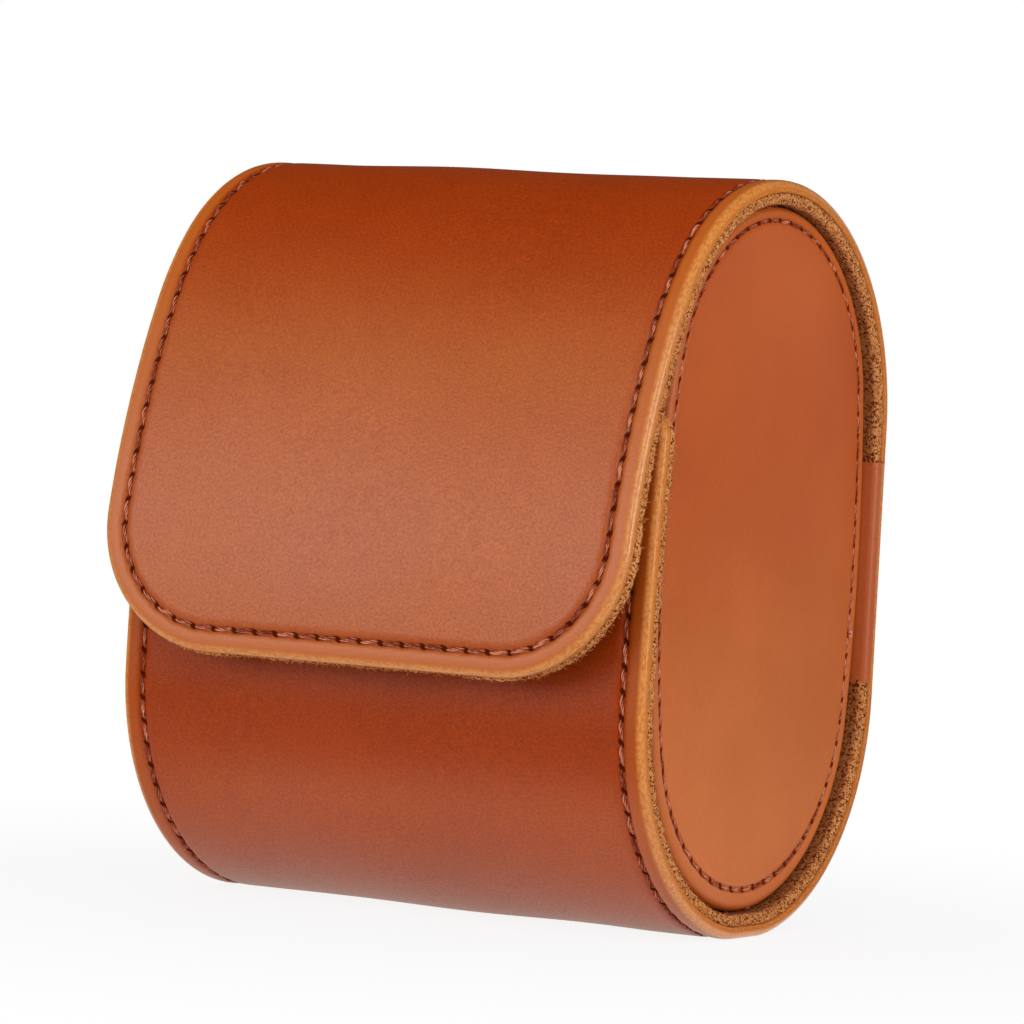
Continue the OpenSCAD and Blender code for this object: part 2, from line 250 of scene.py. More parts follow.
class Value:
    """An output socket in an expression. Each operation on it adds a Math node."""

    def __init__(self, socket):
        self.socket = socket

    def math(self, operation, *others):
        node = self.socket.id_data.nodes.new("ShaderNodeMath")
        node.operation = operation
        for entry, value in zip(node.inputs, (self, *others)):
            connect(entry, value)
        return Value(node.outputs[0])

    def __add__(self, other):
        return self.math("ADD", other)

    def __sub__(self, other):
        return self.math("SUBTRACT", other)

    def __rsub__(self, other):
        return self * -1 + other

    def __mul__(self, other):
        return self.math("MULTIPLY", other)

    def __truediv__(self, other):
        return self.math("DIVIDE", other)

    def __pow__(self, other):
        return self.math("POWER", other)

    __radd__ = __add__
    __rmul__ = __mul__

    def ramp(self, start, end):
        """0 before start and 1 after end, smooth between them; start may be the larger."""
        node = self.socket.id_data.nodes.new("ShaderNodeMapRange")
        node.interpolation_type = "SMOOTHSTEP"
        for key, value in (("Value", self), ("From Min", start), ("From Max", end)):
            connect(node.inputs[key], value)
        return Value(node.outputs["Result"])


class Nodes:
    """A node tree under construction, of a material or the world."""

    def __init__(self, owner):
        owner.use_nodes = True
        self.owner = owner
        self.tree = owner.node_tree
        self.tree.nodes.clear()

    def node(self, kind, settings=None, inputs=None, output=0):
        """One node: its settings are set first, then its inputs; gives the named output."""
        node = self.tree.nodes.new("ShaderNode" + kind)
        for key, value in (settings or {}).items():
            setattr(node, key, value)
        for key, value in (inputs or {}).items():
            connect(node.inputs[key], value)
        return Value(node.outputs[output]) if node.outputs else None

    def attribute(self, name):
        return self.node("Attribute", {"attribute_name": name}, output="Vector")

    def parts(self, vector):
        """The X, Y and Z of a vector."""
        node = self.tree.nodes.new("ShaderNodeSeparateXYZ")
        connect(node.inputs[0], vector)
        return [Value(out) for out in node.outputs]

    def noise(self, place, scale, detail=2, roughness=0.5, distortion=0):
        inputs = {
            "Vector": place,
            "Scale": scale,
            "Detail": detail,
            "Roughness": roughness,
            "Distortion": distortion,
        }
        return self.node("TexNoise", {}, inputs)

    def cells(self, place, scale, feature="F1", randomness=1):
        inputs = {"Vector": place, "Scale": scale, "Randomness": randomness}
        return self.node("TexVoronoi", {"feature": feature}, inputs)

    def mix(self, share, first, second, blend="MIX"):
        settings = {"data_type": "RGBA", "blend_type": blend, "clamp_factor": True}
        return self.node("Mix", settings, {0: share, 6: first, 7: second}, 2)

    def bump(self, height, distance, strength=1, normal=None):
        inputs = {"Height": height, "Distance": distance * MM, "Strength": strength}
        if normal:
            inputs["Normal"] = normal
        return self.node("Bump", {}, inputs)

    def surface(self, matte=None, **inputs):
        """The material: its shader's inputs by name with _ for a space, and the share that has no gloss."""
        named = {key.replace("_", " "): value for key, value in inputs.items()}
        shader = self.node("BsdfPrincipled", {}, named)
        if matte:
            kept = {key: named[key] for key in ("Base Color", "Normal")}
            dull = self.node("BsdfPrincipled", {}, {**kept, "Roughness": 1.0, "Specular IOR Level": 0.0})
            shader = self.node("MixShader", {}, {0: matte, 1: shader, 2: dull})
        self.node("OutputMaterial", {}, {"Surface": shader})
        return self.owner


def finish(name):
    return Nodes(bpy.data.materials.new(name))


def srgb(*levels):
    """A colour from display levels, 0 to 255."""
    return tuple(((v / 255 + 0.055) / 1.055) ** 2.4 if v > 10 else v / 255 / 12.92 for v in levels)


# ---- Settings that a user would change ----


def colour(name, description, *levels):
    return bpy.props.FloatVectorProperty(
        name=name, description=description, subtype="COLOR", size=3, min=0, max=1, default=srgb(*levels)
    )


def length(name, description, millimetres, low, high):
    return bpy.props.FloatProperty(
        name=name,
        description=description,
        unit="LENGTH",
        subtype="DISTANCE",
        default=millimetres * MM,
        min=low * MM,
        max=high * MM,
        precision=5,
    )


class CaseColours(bpy.types.PropertyGroup):
    """Colours of the case's finishes"""

    wrap: colour("Wrap", "Grain leather of the wrap and the flap", 175, 67, 12)
    panel: colour("End panels", "Smoother leather of the end panels", 192, 92, 32)
    strip: colour("Spine strip", "Smooth leather strip and tabs inside the back", 190, 94, 46)
    edge: colour("Burnished edge", "Rounded edges of the wrap", 232, 152, 74)
    suede: colour("Suede", "Split side and lining", 206, 134, 74)
    thread: colour("Thread", "Waxed thread", 152, 72, 48)
    board: colour("Board", "Stiffener board behind the end panels", 128, 108, 84)
    pillow: colour("Pillow", "Suede of the pillow", 206, 165, 120)
    magnet: colour("Magnets", "Plating of the magnets", 196, 197, 200)


class CaseSizes(bpy.types.PropertyGroup):
    """Sizes of the case's stitching and edges"""

    wrap_stitch: length("Wrap stitch", "From hole to hole along the wrap", 3.25, 2, 6)
    wrap_margin: length("Wrap seam", "From the wrap's edge to its stitches", 3.2, 2, 5)
    panel_stitch: length("Panel stitch", "From hole to hole round the end panels", 3.0, 2, 6)
    panel_margin: length("Panel seam", "From an end panel's edge to its stitches", 2.4, 2, 5)
    thread: length("Thread", "Width of the twisted thread", 0.62, 0.4, 1.2)
    fibre: length("Fray", "Length of the longest fibres on the suede's cut edges", 0.9, 0.2, 2)


def settings():
    scene = bpy.context.scene
    return scene.watch_case_colours, scene.watch_case_sizes


# ---- The wrap's bends ----


class Bends:
    """The wrap's outer face from a pose (y, z, angle of the outward normal): 0 is down, 90 back, 180 up."""

    def __init__(self, pose, stretches, way):
        self.way = way
        self.stretches = []
        along = 0
        for radius, amount in stretches:
            self.stretches.append((along, pose, radius))
            along += amount if radius == 0 else radius * math.radians(amount)
            pose = self.after(pose, radius, along - self.stretches[-1][0])
        self.length = along
        self.end = tuple(float(v) for v in pose)

    def after(self, pose, radius, distance):
        y, z, angle = pose
        a = np.radians(angle)
        if radius == 0:
            moved = self.way * distance
            return y + moved * np.cos(a), z + moved * np.sin(a), angle + 0 * distance
        turned = angle + self.way * np.degrees(distance / radius)
        b = np.radians(turned)
        return y - radius * (np.sin(a) - np.sin(b)), z + radius * (np.cos(a) - np.cos(b)), turned

    def poses(self, along):
        """y, z and angle at each distance along the leather."""
        along = np.asarray(along, float)
        out = np.zeros((3, *along.shape))
        for start, pose, radius in self.stretches:
            here = along >= start - 1e-9 if start else np.ones(along.shape, bool)
            out[:, here] = np.array(self.after(pose, radius, along[here] - start))
        return out

    def points(self, across, along, depth):
        """Places in the frame for (across, along, depth)."""
        y, z, angle = self.poses(along)
        a = np.radians(angle)
        return np.stack([across + 0 * y, y - depth * np.sin(a), z + depth * np.cos(a)], -1)

    def axes(self, along, heading):
        """Unit vectors at a place: along the given flat heading (across, along), and outward."""
        angle = np.radians(self.poses(along)[2])
        flat_across, flat_along = heading
        way = self.way * flat_along
        run = np.stack([flat_across + 0 * angle, way * np.cos(angle), way * np.sin(angle)], -1)
        out = np.stack([0 * angle, np.sin(angle), -np.cos(angle)], -1)
        return run, out


def low_bends(reach):
    radius, turn = FOOT_BEND
    lean = math.sin(math.radians(turn))
    return [(radius, turn), ((reach - FOOT_W / 2 - radius * lean) / (1 - lean), 90 - turn)]


def make_bends():
    """The fixed part of the wrap and the flap, both from the line that the flap bends on."""
    start = (BACK_REACH, BEND_Z, 90)
    foot = (0, 0, 0)
    back_low = Bends(foot, [(0, FOOT_W / 2), *low_bends(BACK_REACH)], 1).end
    front_low = Bends(foot, [(0, FOOT_W / 2), *low_bends(FRONT_REACH)], -1).end
    over = [(0, CASE_H - BACK_REACH - BEND_Z), (BACK_REACH, 90), CROWN, SHOULDER]
    face = Bends(start, over, 1).end
    centre_y = face[0] - FLAP_FACE_R * math.sin(math.radians(face[2]))
    centre_z = face[1] + FLAP_FACE_R * math.cos(math.radians(face[2]))
    # The front panel leans in until its top edge lies just inside the flap's lining
    inner_y = centre_y - math.sqrt((FLAP_FACE_R - WALL) ** 2 - (FRONT_H - centre_z) ** 2)
    rise, lean_in = FRONT_H - front_low[1], inner_y + FLAP_GAP + FRONT_REACH
    lean_r = (rise * rise + lean_in * lean_in) / (2 * lean_in)
    fixed = [(0, BEND_Z - back_low[1]), *reversed(low_bends(BACK_REACH)), (0, FOOT_W)]
    fixed += [*low_bends(FRONT_REACH), (lean_r, math.degrees(math.asin(rise / lean_r)))]
    end_angle = 360 - math.degrees(math.acos((centre_z - FLAP_END_Z) / FLAP_FACE_R))
    over.append((FLAP_FACE_R, end_angle - face[2]))
    return Bends(start, fixed, -1), Bends(start, over, 1)


CASE_BENDS, FLAP_BENDS = make_bends()


# ---- Meshes ----


def make_piece(name, points, faces, material, flat=None, seam=None, caps=()):
    """A mesh piece from millimetre points. flat and seam are the leather's own coordinates."""
    mesh = bpy.data.meshes.new(name)
    mesh.from_pydata((np.asarray(points) * MM).tolist(), [], list(faces) + list(caps))
    mesh.polygons.foreach_set("use_smooth", [True] * len(faces) + [False] * len(caps))
    mesh.materials.append(material)
    for key, values in (("flat", points if flat is None else flat), ("seam", seam)):
        if values is not None:
            layer = mesh.attributes.new(key, "FLOAT_VECTOR", "POINT")
            scale = MM if key == "flat" else 1
            layer.data.foreach_set("vector", (np.asarray(values, np.float32) * scale).ravel())
    piece = bpy.data.objects.new(name, mesh)
    bpy.context.scene.collection.objects.link(piece)
    worked = bmesh.new()
    worked.from_mesh(mesh)
    bmesh.ops.recalc_face_normals(worked, faces=worked.faces)
    worked.to_mesh(mesh)
    worked.free()
    return piece


def band_faces(index, closed=False):
    """Quads between the rows of an index grid; closed joins each row's end to its start."""
    if closed:
        index = np.hstack([index, index[:, :1]])
    a, b, c, d = index[:-1, :-1], index[:-1, 1:], index[1:, 1:], index[1:, :-1]
    return np.stack([a, b, c, d], -1).reshape(-1, 4).tolist()


class Pattern:
    """Flat pattern of a strip that ends in rounded corners: a path runs down one side, round and up."""

    def __init__(self, bends, inset, corner_r, step, margin):
        self.bends = bends
        self.half_w = HALF_W - inset
        self.end = bends.length - inset
        self.corner_r = corner_r - inset
        self.side_n = round((self.end - corner_r) / step)
        self.corner_n = max(2, round(corner_r * math.pi / 4 / step))
        self.bottom_n = round(2 * HALF_W / step) - 2 * self.corner_n
        self.rows = self.side_n + self.corner_n
        self.columns = 2 * self.corner_n + self.bottom_n
        self.margin = margin
        line = self.path(np.full(self.count, margin))
        steps = np.hypot(*np.diff(line, axis=1))
        self.run = np.concatenate([[0], np.cumsum(steps)])

    @property
    def count(self):
        return 2 * self.rows + self.columns + 1

    def path(self, inset):
        """(across, along) of each point of the path, set in from the outline by inset at each."""
        inset = np.broadcast_to(np.asarray(inset, float), (self.count,))
        k = np.arange(self.count)
        mirrored = k > self.rows + self.columns / 2
        k = np.where(mirrored, self.count - 1 - k, k)
        radius = np.maximum(self.corner_r - inset, 0.25)
        low = self.end - inset - radius
        corner = np.radians(90 * np.clip((k - self.side_n) / (2 * self.corner_n), 0, 1))
        share = np.clip((k - self.side_n - 2 * self.corner_n) / self.bottom_n, 0, 1)
        flat_w = 2 * (self.half_w - inset - radius)
        across = -self.half_w + inset + radius * (1 - np.cos(corner)) + share * flat_w
        along = np.minimum(k / self.side_n, 1) * low + radius * np.sin(corner)
        return np.stack([np.where(mirrored, -across, across), along])

    def inner_grid(self, boundary):
        """Flat places inside a path, as a grid whose border is the path and a straight top row."""
        rows, columns = self.rows, self.columns
        left = boundary[:, : rows + 1]
        right = boundary[:, ::-1][:, : rows + 1]
        bottom = boundary[:, rows : rows + columns + 1]
        h = np.linspace(0, 1, columns + 1)[None, None, :]
        v = (left[1] / left[1][-1])[None, :, None]
        top = left[:, :1] * (1 - h[0]) + right[:, :1] * h[0]
        grid = (1 - v) * top[:, None, :] + v * bottom[:, None, :]
        grid += (1 - h) * left[:, :, None] + h * right[:, :, None]
        grid -= (1 - v) * ((1 - h) * top[:, None, :1] + h * top[:, None, -1:])
        grid -= v * ((1 - h) * bottom[:, None, :1] + h * bottom[:, None, -1:])
        return grid


def gentle_waves(across, along):
    """Slight unevenness of a hand-made wrap, in millimetres."""
    return (
        0.10 * np.sin(across / 9.3 + along / 21.7)
        + 0.07 * np.sin(across / 5.1 - along / 13.9 + 1.3)
        + 0.05 * np.sin(along / 6.7 + across / 17.0 + 0.4)
    )


def layer_mesh(pattern, profile, waves):
    """One layer of the wrap. profile(k) gives inset and depth of ring k at each point of the path."""
    rings = [(np.broadcast_to(i, (pattern.count,)), np.broadcast_to(d, (pattern.count,))) for i, d in profile]
    points, flats, seams = [], [], []
    phase = pattern.run
    sign = pattern.bends.way
    for inset, depth in rings:
        across, along = pattern.path(inset)
        points.append(pattern.bends.points(across, along, depth))
        flats.append(np.stack([across, sign * along, depth], -1))
        seams.append(np.stack([phase, inset, depth], -1))
    index = np.arange(len(rings) * pattern.count).reshape(len(rings), pattern.count)
    faces = band_faces(index)
    total = index.size
    tops = []
    for ring in (0, len(rings) - 1):
        boundary = pattern.path(rings[ring][0])
        grid = pattern.inner_grid(boundary)
        new = np.arange(total, total + pattern.rows * (pattern.columns - 1))
        full = np.zeros((pattern.rows + 1, pattern.columns + 1), int)
        full[:, 0] = index[ring][: pattern.rows + 1]
        full[:, -1] = index[ring][::-1][: pattern.rows + 1]
        full[-1] = index[ring][pattern.rows : pattern.rows + pattern.columns + 1]
        full[:-1, 1:-1] = new.reshape(pattern.rows, pattern.columns - 1)
        total += new.size
        across, along = grid[:, :-1, 1:-1].reshape(2, -1)
        inside = np.minimum(pattern.half_w - np.abs(across), pattern.end - along) - boundary[0][0] - pattern.half_w
        depth = rings[ring][1][0] - waves * gentle_waves(across, sign * along) * np.clip(inside / 10, 0, 1) ** 2
        points.append(pattern.bends.points(across, along, depth))
        flats.append(np.stack([across, sign * along, depth], -1))
        seams.append(np.stack([along, 0 * along + 20, depth], -1))
        faces += band_faces(full)
        tops.append(full[0])
    caps = band_faces(np.array(tops))
    caps += [index[:, 0].tolist(), index[::-1, -1].tolist()]
    return np.concatenate(points), faces, np.concatenate(flats), np.concatenate(seams), caps


def ramp(x, start, end):
    t = np.clip((x - start) / (end - start), 0, 1)
    return t * t * (3 - 2 * t)


def tucked(pattern, along, inset, depth):
    """The fixed wrap's edge is cut back where the spine strip turns over it."""
    if pattern.bends is not CASE_BENDS:
        return inset
    on_side = np.abs(np.arange(pattern.count) - (pattern.count - 1) / 2) > pattern.columns / 2
    under = on_side & (along < BEND_Z - STRIP_LOW[2]) & (depth > 0.75)
    return np.where(under, np.maximum(inset, 0.85), inset)


EDGE = [
    (1.25, 0.0), (0.95, 0.03), (0.68, 0.09), (0.44, 0.2), (0.24, 0.36), (0.09, 0.58), (0.0, 0.86),
    (0.0, 1.12), (0.02, 1.36), (0.05, 1.55), (0.11, 1.65), (0.5, 1.69), (1.5, 1.7), (6.0, 1.7),
]  # fmt: skip
GROOVE = [(1.4, 0.0), (1.0, 0.015), (0.7, 0.06), (0.46, 0.14), (0.24, 0.24), (0, 0.3)]


def seam_rings(margin, depth_scale=1):
    """(inset, depth) across the stitch line, from inside to the edge's side."""
    inner = [(margin + reach, depth * depth_scale) for reach, depth in GROOVE]
    outer = [(margin - reach, depth * depth_scale) for reach, depth in GROOVE[-2::-1]]
    return inner + outer


def leather_profile(pattern, pitch):
    pull = 0.5 + 0.5 * np.cos(2 * math.pi * pattern.run / pitch)
    for inset, depth in [*seam_rings(pattern.margin), *EDGE]:
        near = math.exp(-(((inset - pattern.margin) / 0.6) ** 2)) if depth < 0.5 else 0
        lift = near * 0.2 * pull
        along = pattern.path(inset)[1]
        yield tucked(pattern, along, np.full(pattern.count, inset), depth), depth + lift


def rough(run, seed, size):
    """Smooth random values from -1 to 1 along a run."""
    return np.array([noise.noise(Vector((r / size, seed * 7.31, 0.5))) for r in run]) * 1.6


def lining_profile(pattern, peek, seed):
    """Cut suede edge, ragged, that stands out past its outline by peek at the flap's end."""
    k = np.arange(pattern.count)
    at_end = ramp(np.minimum(k, pattern.count - 1 - k), pattern.side_n * 0.86, pattern.side_n + pattern.corner_n)
    stand = peek * at_end
    depths = [1.7, 1.7, 1.7, 1.73, 1.8, 2.05, 2.35, 2.65, 2.9, 3.08, 3.17, 3.2, 3.2]
    insets = [6.0, 2.5, 0.8, 0.2, 0.05, 0.0, 0.0, 0.0, 0.04, 0.16, 0.4, 1.0, 6.0]
    for ring, (inset, depth) in enumerate(zip(insets, depths)):
        edge = math.exp(-((inset / 0.6) ** 2))
        ragged = 0.16 * rough(pattern.run, seed + ring * 0.11, 0.9) + 0.1 * rough(pattern.run, seed + ring, 0.35)
        moved = inset - edge * (stand * (1 + 0.25 * rough(pattern.run, seed, 6)) + ragged)
        sunk = 0.05 * edge * rough(pattern.run, seed + 40 + ring, 0.6)
        along = pattern.path(0)[1]
        yield tucked(pattern, along, moved, depth), depth + sunk


def flap_or_case(piece, part, bend=LEATHER_BEND):
    """The flap's pieces bend away from the fixed back; the others ride on the case."""
    if part is FLAP:
        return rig.blend(piece, CASE, FLAP, bend, bend + BEND_REACH)
    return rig.ride(piece, CASE)


PARTS = ((CASE, CASE_BENDS, FRONT_CORNER_R), (FLAP, FLAP_BENDS, FLAP_CORNER_R))


# ---- Finishes ----


def scaled(base, *shares):
    """A colour with its red, green and blue scaled."""
    return tuple(min(1, value * share) for value, share in zip(base, shares))


def seam_marks(f, phase, inset, margin, beat, length, width):
    """Shares of the painted shade in the slanted hole at each stitch's end and in the groove that the thread lies in.
    """
    off_seam = inset - margin
    along = ((phase / beat + 0.5).math("FRACT") - 0.5) * beat + off_seam * 0.7
    far = (along / length) ** 2 + (off_seam / width) ** 2
    return far.ramp(1.15, 0.3), off_seam.math("ABSOLUTE").ramp(width * 1.3, width * 0.6)


def grain_leather(name, base, edge, beat, margin):
    """Fine-grained leather with burnished edges, a pressed seam and awl holes, with painted sheen and shade on its
    face, seam and edges.
    """
    f = finish(name)
    flat = f.attribute("flat")
    phase, inset, depth = f.parts(f.attribute("seam"))
    cloudy = f.noise(flat, 45, 3, 0.55)
    patchy = f.noise(flat, 230, 2, 0.5)
    pebbles = f.noise(flat, 2900, 1, 0.5, 0.5)
    pores = f.noise(flat, 5200, 2, 0.6)
    grain = pebbles * 0.65 + pores * 0.35
    tone = (cloudy - 0.5) * 0.3 + (patchy - 0.5) * 0.14 + (grain - 0.5) * 1.5 + 0.5
    # Painted sheen: the flap's face and the case's lower front are painted paler, and the crown is painted deeper as
    # shade
    along = f.parts(flat)[1]
    painted_sheen = along.ramp(0.072, 0.1).math("MAXIMUM", along.ramp(-0.128, -0.112) * 0.3)
    crown = along.ramp(0.046, 0.068) * along.ramp(0.1, 0.072)
    # Painted shadow of the flap on the band of the wrap just under it
    shaded = along.ramp(-0.116, -0.129)
    base_now = f.mix(painted_sheen, base, scaled(base, 1.16, 1.72, 1.4))
    base_now = f.mix(crown, base_now, scaled(base, 0.92, 0.8, 0.32))
    base_now = f.mix(shaded, base_now, scaled(base, 0.86, 0.8, 0.6))
    dark, light = ((0.8, 0.72, 0.64), (1.16, 1.24, 1.34))
    colour_now = f.mix(tone.ramp(0.15, 0.85), dark, light)
    colour_now = f.mix(1, base_now, colour_now, "MULTIPLY")
    in_margin = inset.ramp(margin - 0.35, margin - 1.2) * (along.ramp(0, 0.05) * 0.5 + 0.4)
    colour_now = f.mix(in_margin, colour_now, scaled(base, 1.32, 2.3, 3.6))
    # Painted shade on the leather just inside the seam
    shade_beside_seam = (inset - margin).ramp(2.6, 0.3) * inset.ramp(margin - 0.3, margin)
    colour_now = f.mix(shade_beside_seam * 0.3, colour_now, scaled(base, 0.95, 0.75, 0.7))
    streaks = f.noise(f.node("Mapping", {}, {"Vector": flat, "Scale": (1.0, 1.0, 3.2)}), 1500, 3, 0.7)
    rim = (inset.ramp(1.2, 0.45) + depth.ramp(0.2, 0.5)).math("MINIMUM", 1)
    edge_tone = f.mix(streaks.ramp(0.36, 0.6), scaled(edge, 0.78, 0.6, 0.42), edge)
    # Painted shade on the flat of the cut edge, so that its rounded corner shows as a highlight
    edge_tone = f.mix(depth.ramp(0.55, 0.95) * 0.6, edge_tone, scaled(edge, 0.72, 0.55, 0.4))
    # The inner part of the cut edge is left raw
    raw = depth.ramp(0.95, 1.2)
    fibres = pores * 0.6 + pebbles * 0.4
    raw_tone = f.mix(fibres.ramp(0.4, 0.54), scaled(edge, 0.4, 0.2, 0.12), scaled(edge, 0.95, 0.9, 0.95))
    on_flap = along.ramp(0.05, 0.09)
    edge_tone = f.mix(raw * (on_flap * 0.45 + 0.4), edge_tone, raw_tone)
    # Painted shade in the notch where the leather meets the lining, strongest on the flap
    edge_tone = f.mix(depth.ramp(1.5, 1.66) * (on_flap * 0.7 + 0.1), edge_tone, scaled(base, 0.4, 0.25, 0.3))
    colour_now = f.mix(rim * 0.92, colour_now, edge_tone)
    hole, groove = seam_marks(f, phase, inset, margin, beat, 0.62, 0.46)
    # Painted shade in the groove that the thread lies in and in the awl holes
    colour_now = f.mix(groove * 0.5, colour_now, scaled(base, 0.45, 0.25, 0.3))
    colour_now = f.mix(hole * 0.95, colour_now, srgb(84, 8, 4))
    dull = (hole + groove * 0.5 + raw * rim * 0.7 + crown * 0.8 + shaded * 0.6).math("MINIMUM", 1)
    rough_now = (0.5 - grain) * 0.24 + (cloudy - 0.5) * 0.1 + 0.36 + painted_sheen * 0.05 + (hole + raw * rim) * 0.4
    normal = f.bump(grain, 0.07, 0.75)
    normal = f.bump(1 - hole, 0.3, 0.8, normal)
    normal = f.bump(fibres * raw, 0.25, 0.8, normal)
    return f.surface(
        matte=dull,
        Base_Color=colour_now,
        Roughness=rough_now,
        Specular_IOR_Level=0.5,
        Coat_Weight=rim * depth.ramp(1.0, 0.7) * 0.7,
        Coat_Roughness=0.22,
        Normal=normal,
    )


def smooth_leather(name, base, gloss=0.44, margin=None, beat=3.0):
    """Close-grained leather with faint clouds; where it has a seam, with awl holes, painted shade in them and in its
    groove, and painted sheen towards its foot.
    """
    f = finish(name)
    flat = f.attribute("flat")
    cloudy = f.noise(flat, 30, 4, 0.55)
    fine = f.noise(flat, 2000, 2, 0.6, 0.8)
    pores = f.noise(flat, 5200, 2, 0.6)
    tone = (cloudy - 0.5) * 0.7 + (fine - 0.5) * 0.36 + (pores - 0.5) * 0.12 + 0.5
    colour_now = f.mix(tone.ramp(0.15, 0.85), scaled(base, 0.84, 0.76, 0.64), scaled(base, 1.14, 1.26, 1.5))
    normal = f.bump(fine * 0.6 + pores * 0.4, 0.05, 0.5)
    dull = None
    if margin:
        phase, inset, _ = f.parts(f.attribute("seam"))
        height = f.parts(flat)[2]
        # Painted sheen: the panel is painted deeper at its top and paler towards its foot
        gradient = f.mix(height.ramp(0.07, 0.02), (1.0, 0.84, 0.45), (1.16, 1.4, 1.95))
        colour_now = f.mix(1, colour_now, gradient, "MULTIPLY")
        hole, groove = seam_marks(f, phase, inset, margin, beat, 0.6, 0.4)
        colour_now = f.mix(inset.ramp(margin - 0.3, margin - 1.3) * 0.5, colour_now, scaled(base, 1.12, 1.3, 1.5))
        colour_now = f.mix(inset.ramp(0.55, 0.1) * 0.6, colour_now, scaled(base, 0.8, 0.6, 0.5))
        # Painted shade in the groove that the thread lies in and in the awl holes
        colour_now = f.mix(groove * 0.5, colour_now, scaled(base, 0.4, 0.25, 0.3))
        colour_now = f.mix(hole * 0.9, colour_now, srgb(92, 20, 8))
        normal = f.bump(1 - hole, 0.3, 0.8, normal)
        dull = (hole + groove * 0.5).math("MINIMUM", 1)
    rough_now = (fine - 0.5) * 0.14 + (cloudy - 0.5) * 0.1 + gloss
    return f.surface(
        matte=dull, Base_Color=colour_now, Roughness=rough_now, Specular_IOR_Level=0.38, Normal=normal
    )


def raw_suede(name, base, speckle=0.85, place="flat", size=1.0, panel_shade=False):
    """Split leather: short matted nap, dark between its tufts, and when asked with painted shade where the lining meets
    the end panels.
    """
    f = finish(name)
    if place == "flat":
        where = f.attribute("flat")
    else:
        where = f.node("TexCoord", {}, {}, "Object")
    matted = f.noise(where, 1600 * size, 3, 0.75, 0.5)
    tufts = f.noise(where, 3000 * size, 2, 0.7, 0.3)
    cloudy = f.noise(where, 70, 2, 0.5)
    hollow = (matted * 0.42 + tufts * 0.58).ramp(0.51, 0.42)
    mid = scaled(base, 0.86, 0.76, 0.62)
    colour_now = f.mix(tufts.ramp(0.4, 0.62), mid, scaled(base, 1.28, 1.47, 1.85))
    colour_now = f.mix(cloudy.ramp(0.3, 0.75) * 0.3, colour_now, mid)
    if panel_shade:
        # Painted shade on the lining's inner face beside the end panels
        inset = f.parts(f.attribute("seam"))[1]
        painted_panel_shade = inset.ramp(0.35, 1.0) * inset.ramp(5.8, 2.5)
        colour_now = f.mix(painted_panel_shade * 0.62, colour_now, scaled(base, 0.34, 0.2, 0.14))
    colour_now = f.mix(hollow * speckle, colour_now, scaled(base, 0.14, 0.035, 0.01))
    normal = f.bump(matted * 0.4 + tufts * 0.6, 0.3, 0.8)
    return f.surface(
        Base_Color=colour_now,
        Roughness=0.93 - tufts * 0.1,
        Specular_IOR_Level=0.08,
        Normal=normal,
    )


def waxed_thread(name, base):
    """Two-ply thread, with painted highlights along its strands and painted shade at its ends in their holes."""
    f = finish(name)
    along, turn, tint = f.parts(f.attribute("seam"))
    strands = (turn * 3 + along * 9).math("SINE") * 0.5 + 0.5
    ends = (along - 0.5).math("ABSOLUTE").ramp(0.32, 0.48)
    tone = strands * 0.45 + f.noise(f.attribute("flat"), 1800, 2, 0.6) * 0.6 + (tint - 0.5) * 0.4
    # Painted highlights along the strands' twist, and painted shade where the ends go into their holes
    colour_now = f.mix(tone.ramp(0.4, 0.82), scaled(base, 0.55, 0.3, 0.25), scaled(base, 2.5, 4.4, 5.6))
    colour_now = f.mix(ends * 0.9, colour_now, srgb(84, 10, 6))
    normal = f.bump(strands, 0.05, 0.5)
    return f.surface(Base_Color=colour_now, Roughness=0.6, Specular_IOR_Level=0.08, Normal=normal)


def pressed_board(name, base):
    f = finish(name)
    where = f.node("TexCoord", {}, {}, "Object")
    fibres = f.noise(f.node("Mapping", {}, {"Vector": where, "Scale": (1.0, 1.0, 0.22)}), 1800, 3, 0.6)
    flecks = f.noise(where, 700, 2, 0.5).ramp(0.62, 0.72)
    colour_now = f.mix(fibres.ramp(0.3, 0.7), tuple(v * 0.72 for v in base), base)
    colour_now = f.mix(flecks * 0.5, colour_now, tuple(v * 0.4 for v in base))
    return f.surface(Base_Color=colour_now, Roughness=0.85, Normal=f.bump(fibres, 0.05, 0.5))


def plated_metal(name, base):
    f = finish(name)
    where = f.node("TexCoord", {}, {}, "Object")
    scuffs = f.noise(f.node("Mapping", {}, {"Vector": where, "Scale": (1.0, 0.1, 1.0)}), 2600, 3, 0.6)
    tone = f.mix(f.noise(where, 220, 2).ramp(0.35, 0.7), tuple(v * 0.85 for v in base), base)
    return f.surface(
        Base_Color=tone, Metallic=1.0, Roughness=scuffs * 0.18 + 0.2, Normal=f.bump(scuffs, 0.01, 0.3)
    )


# ---- Threads and fibres ----


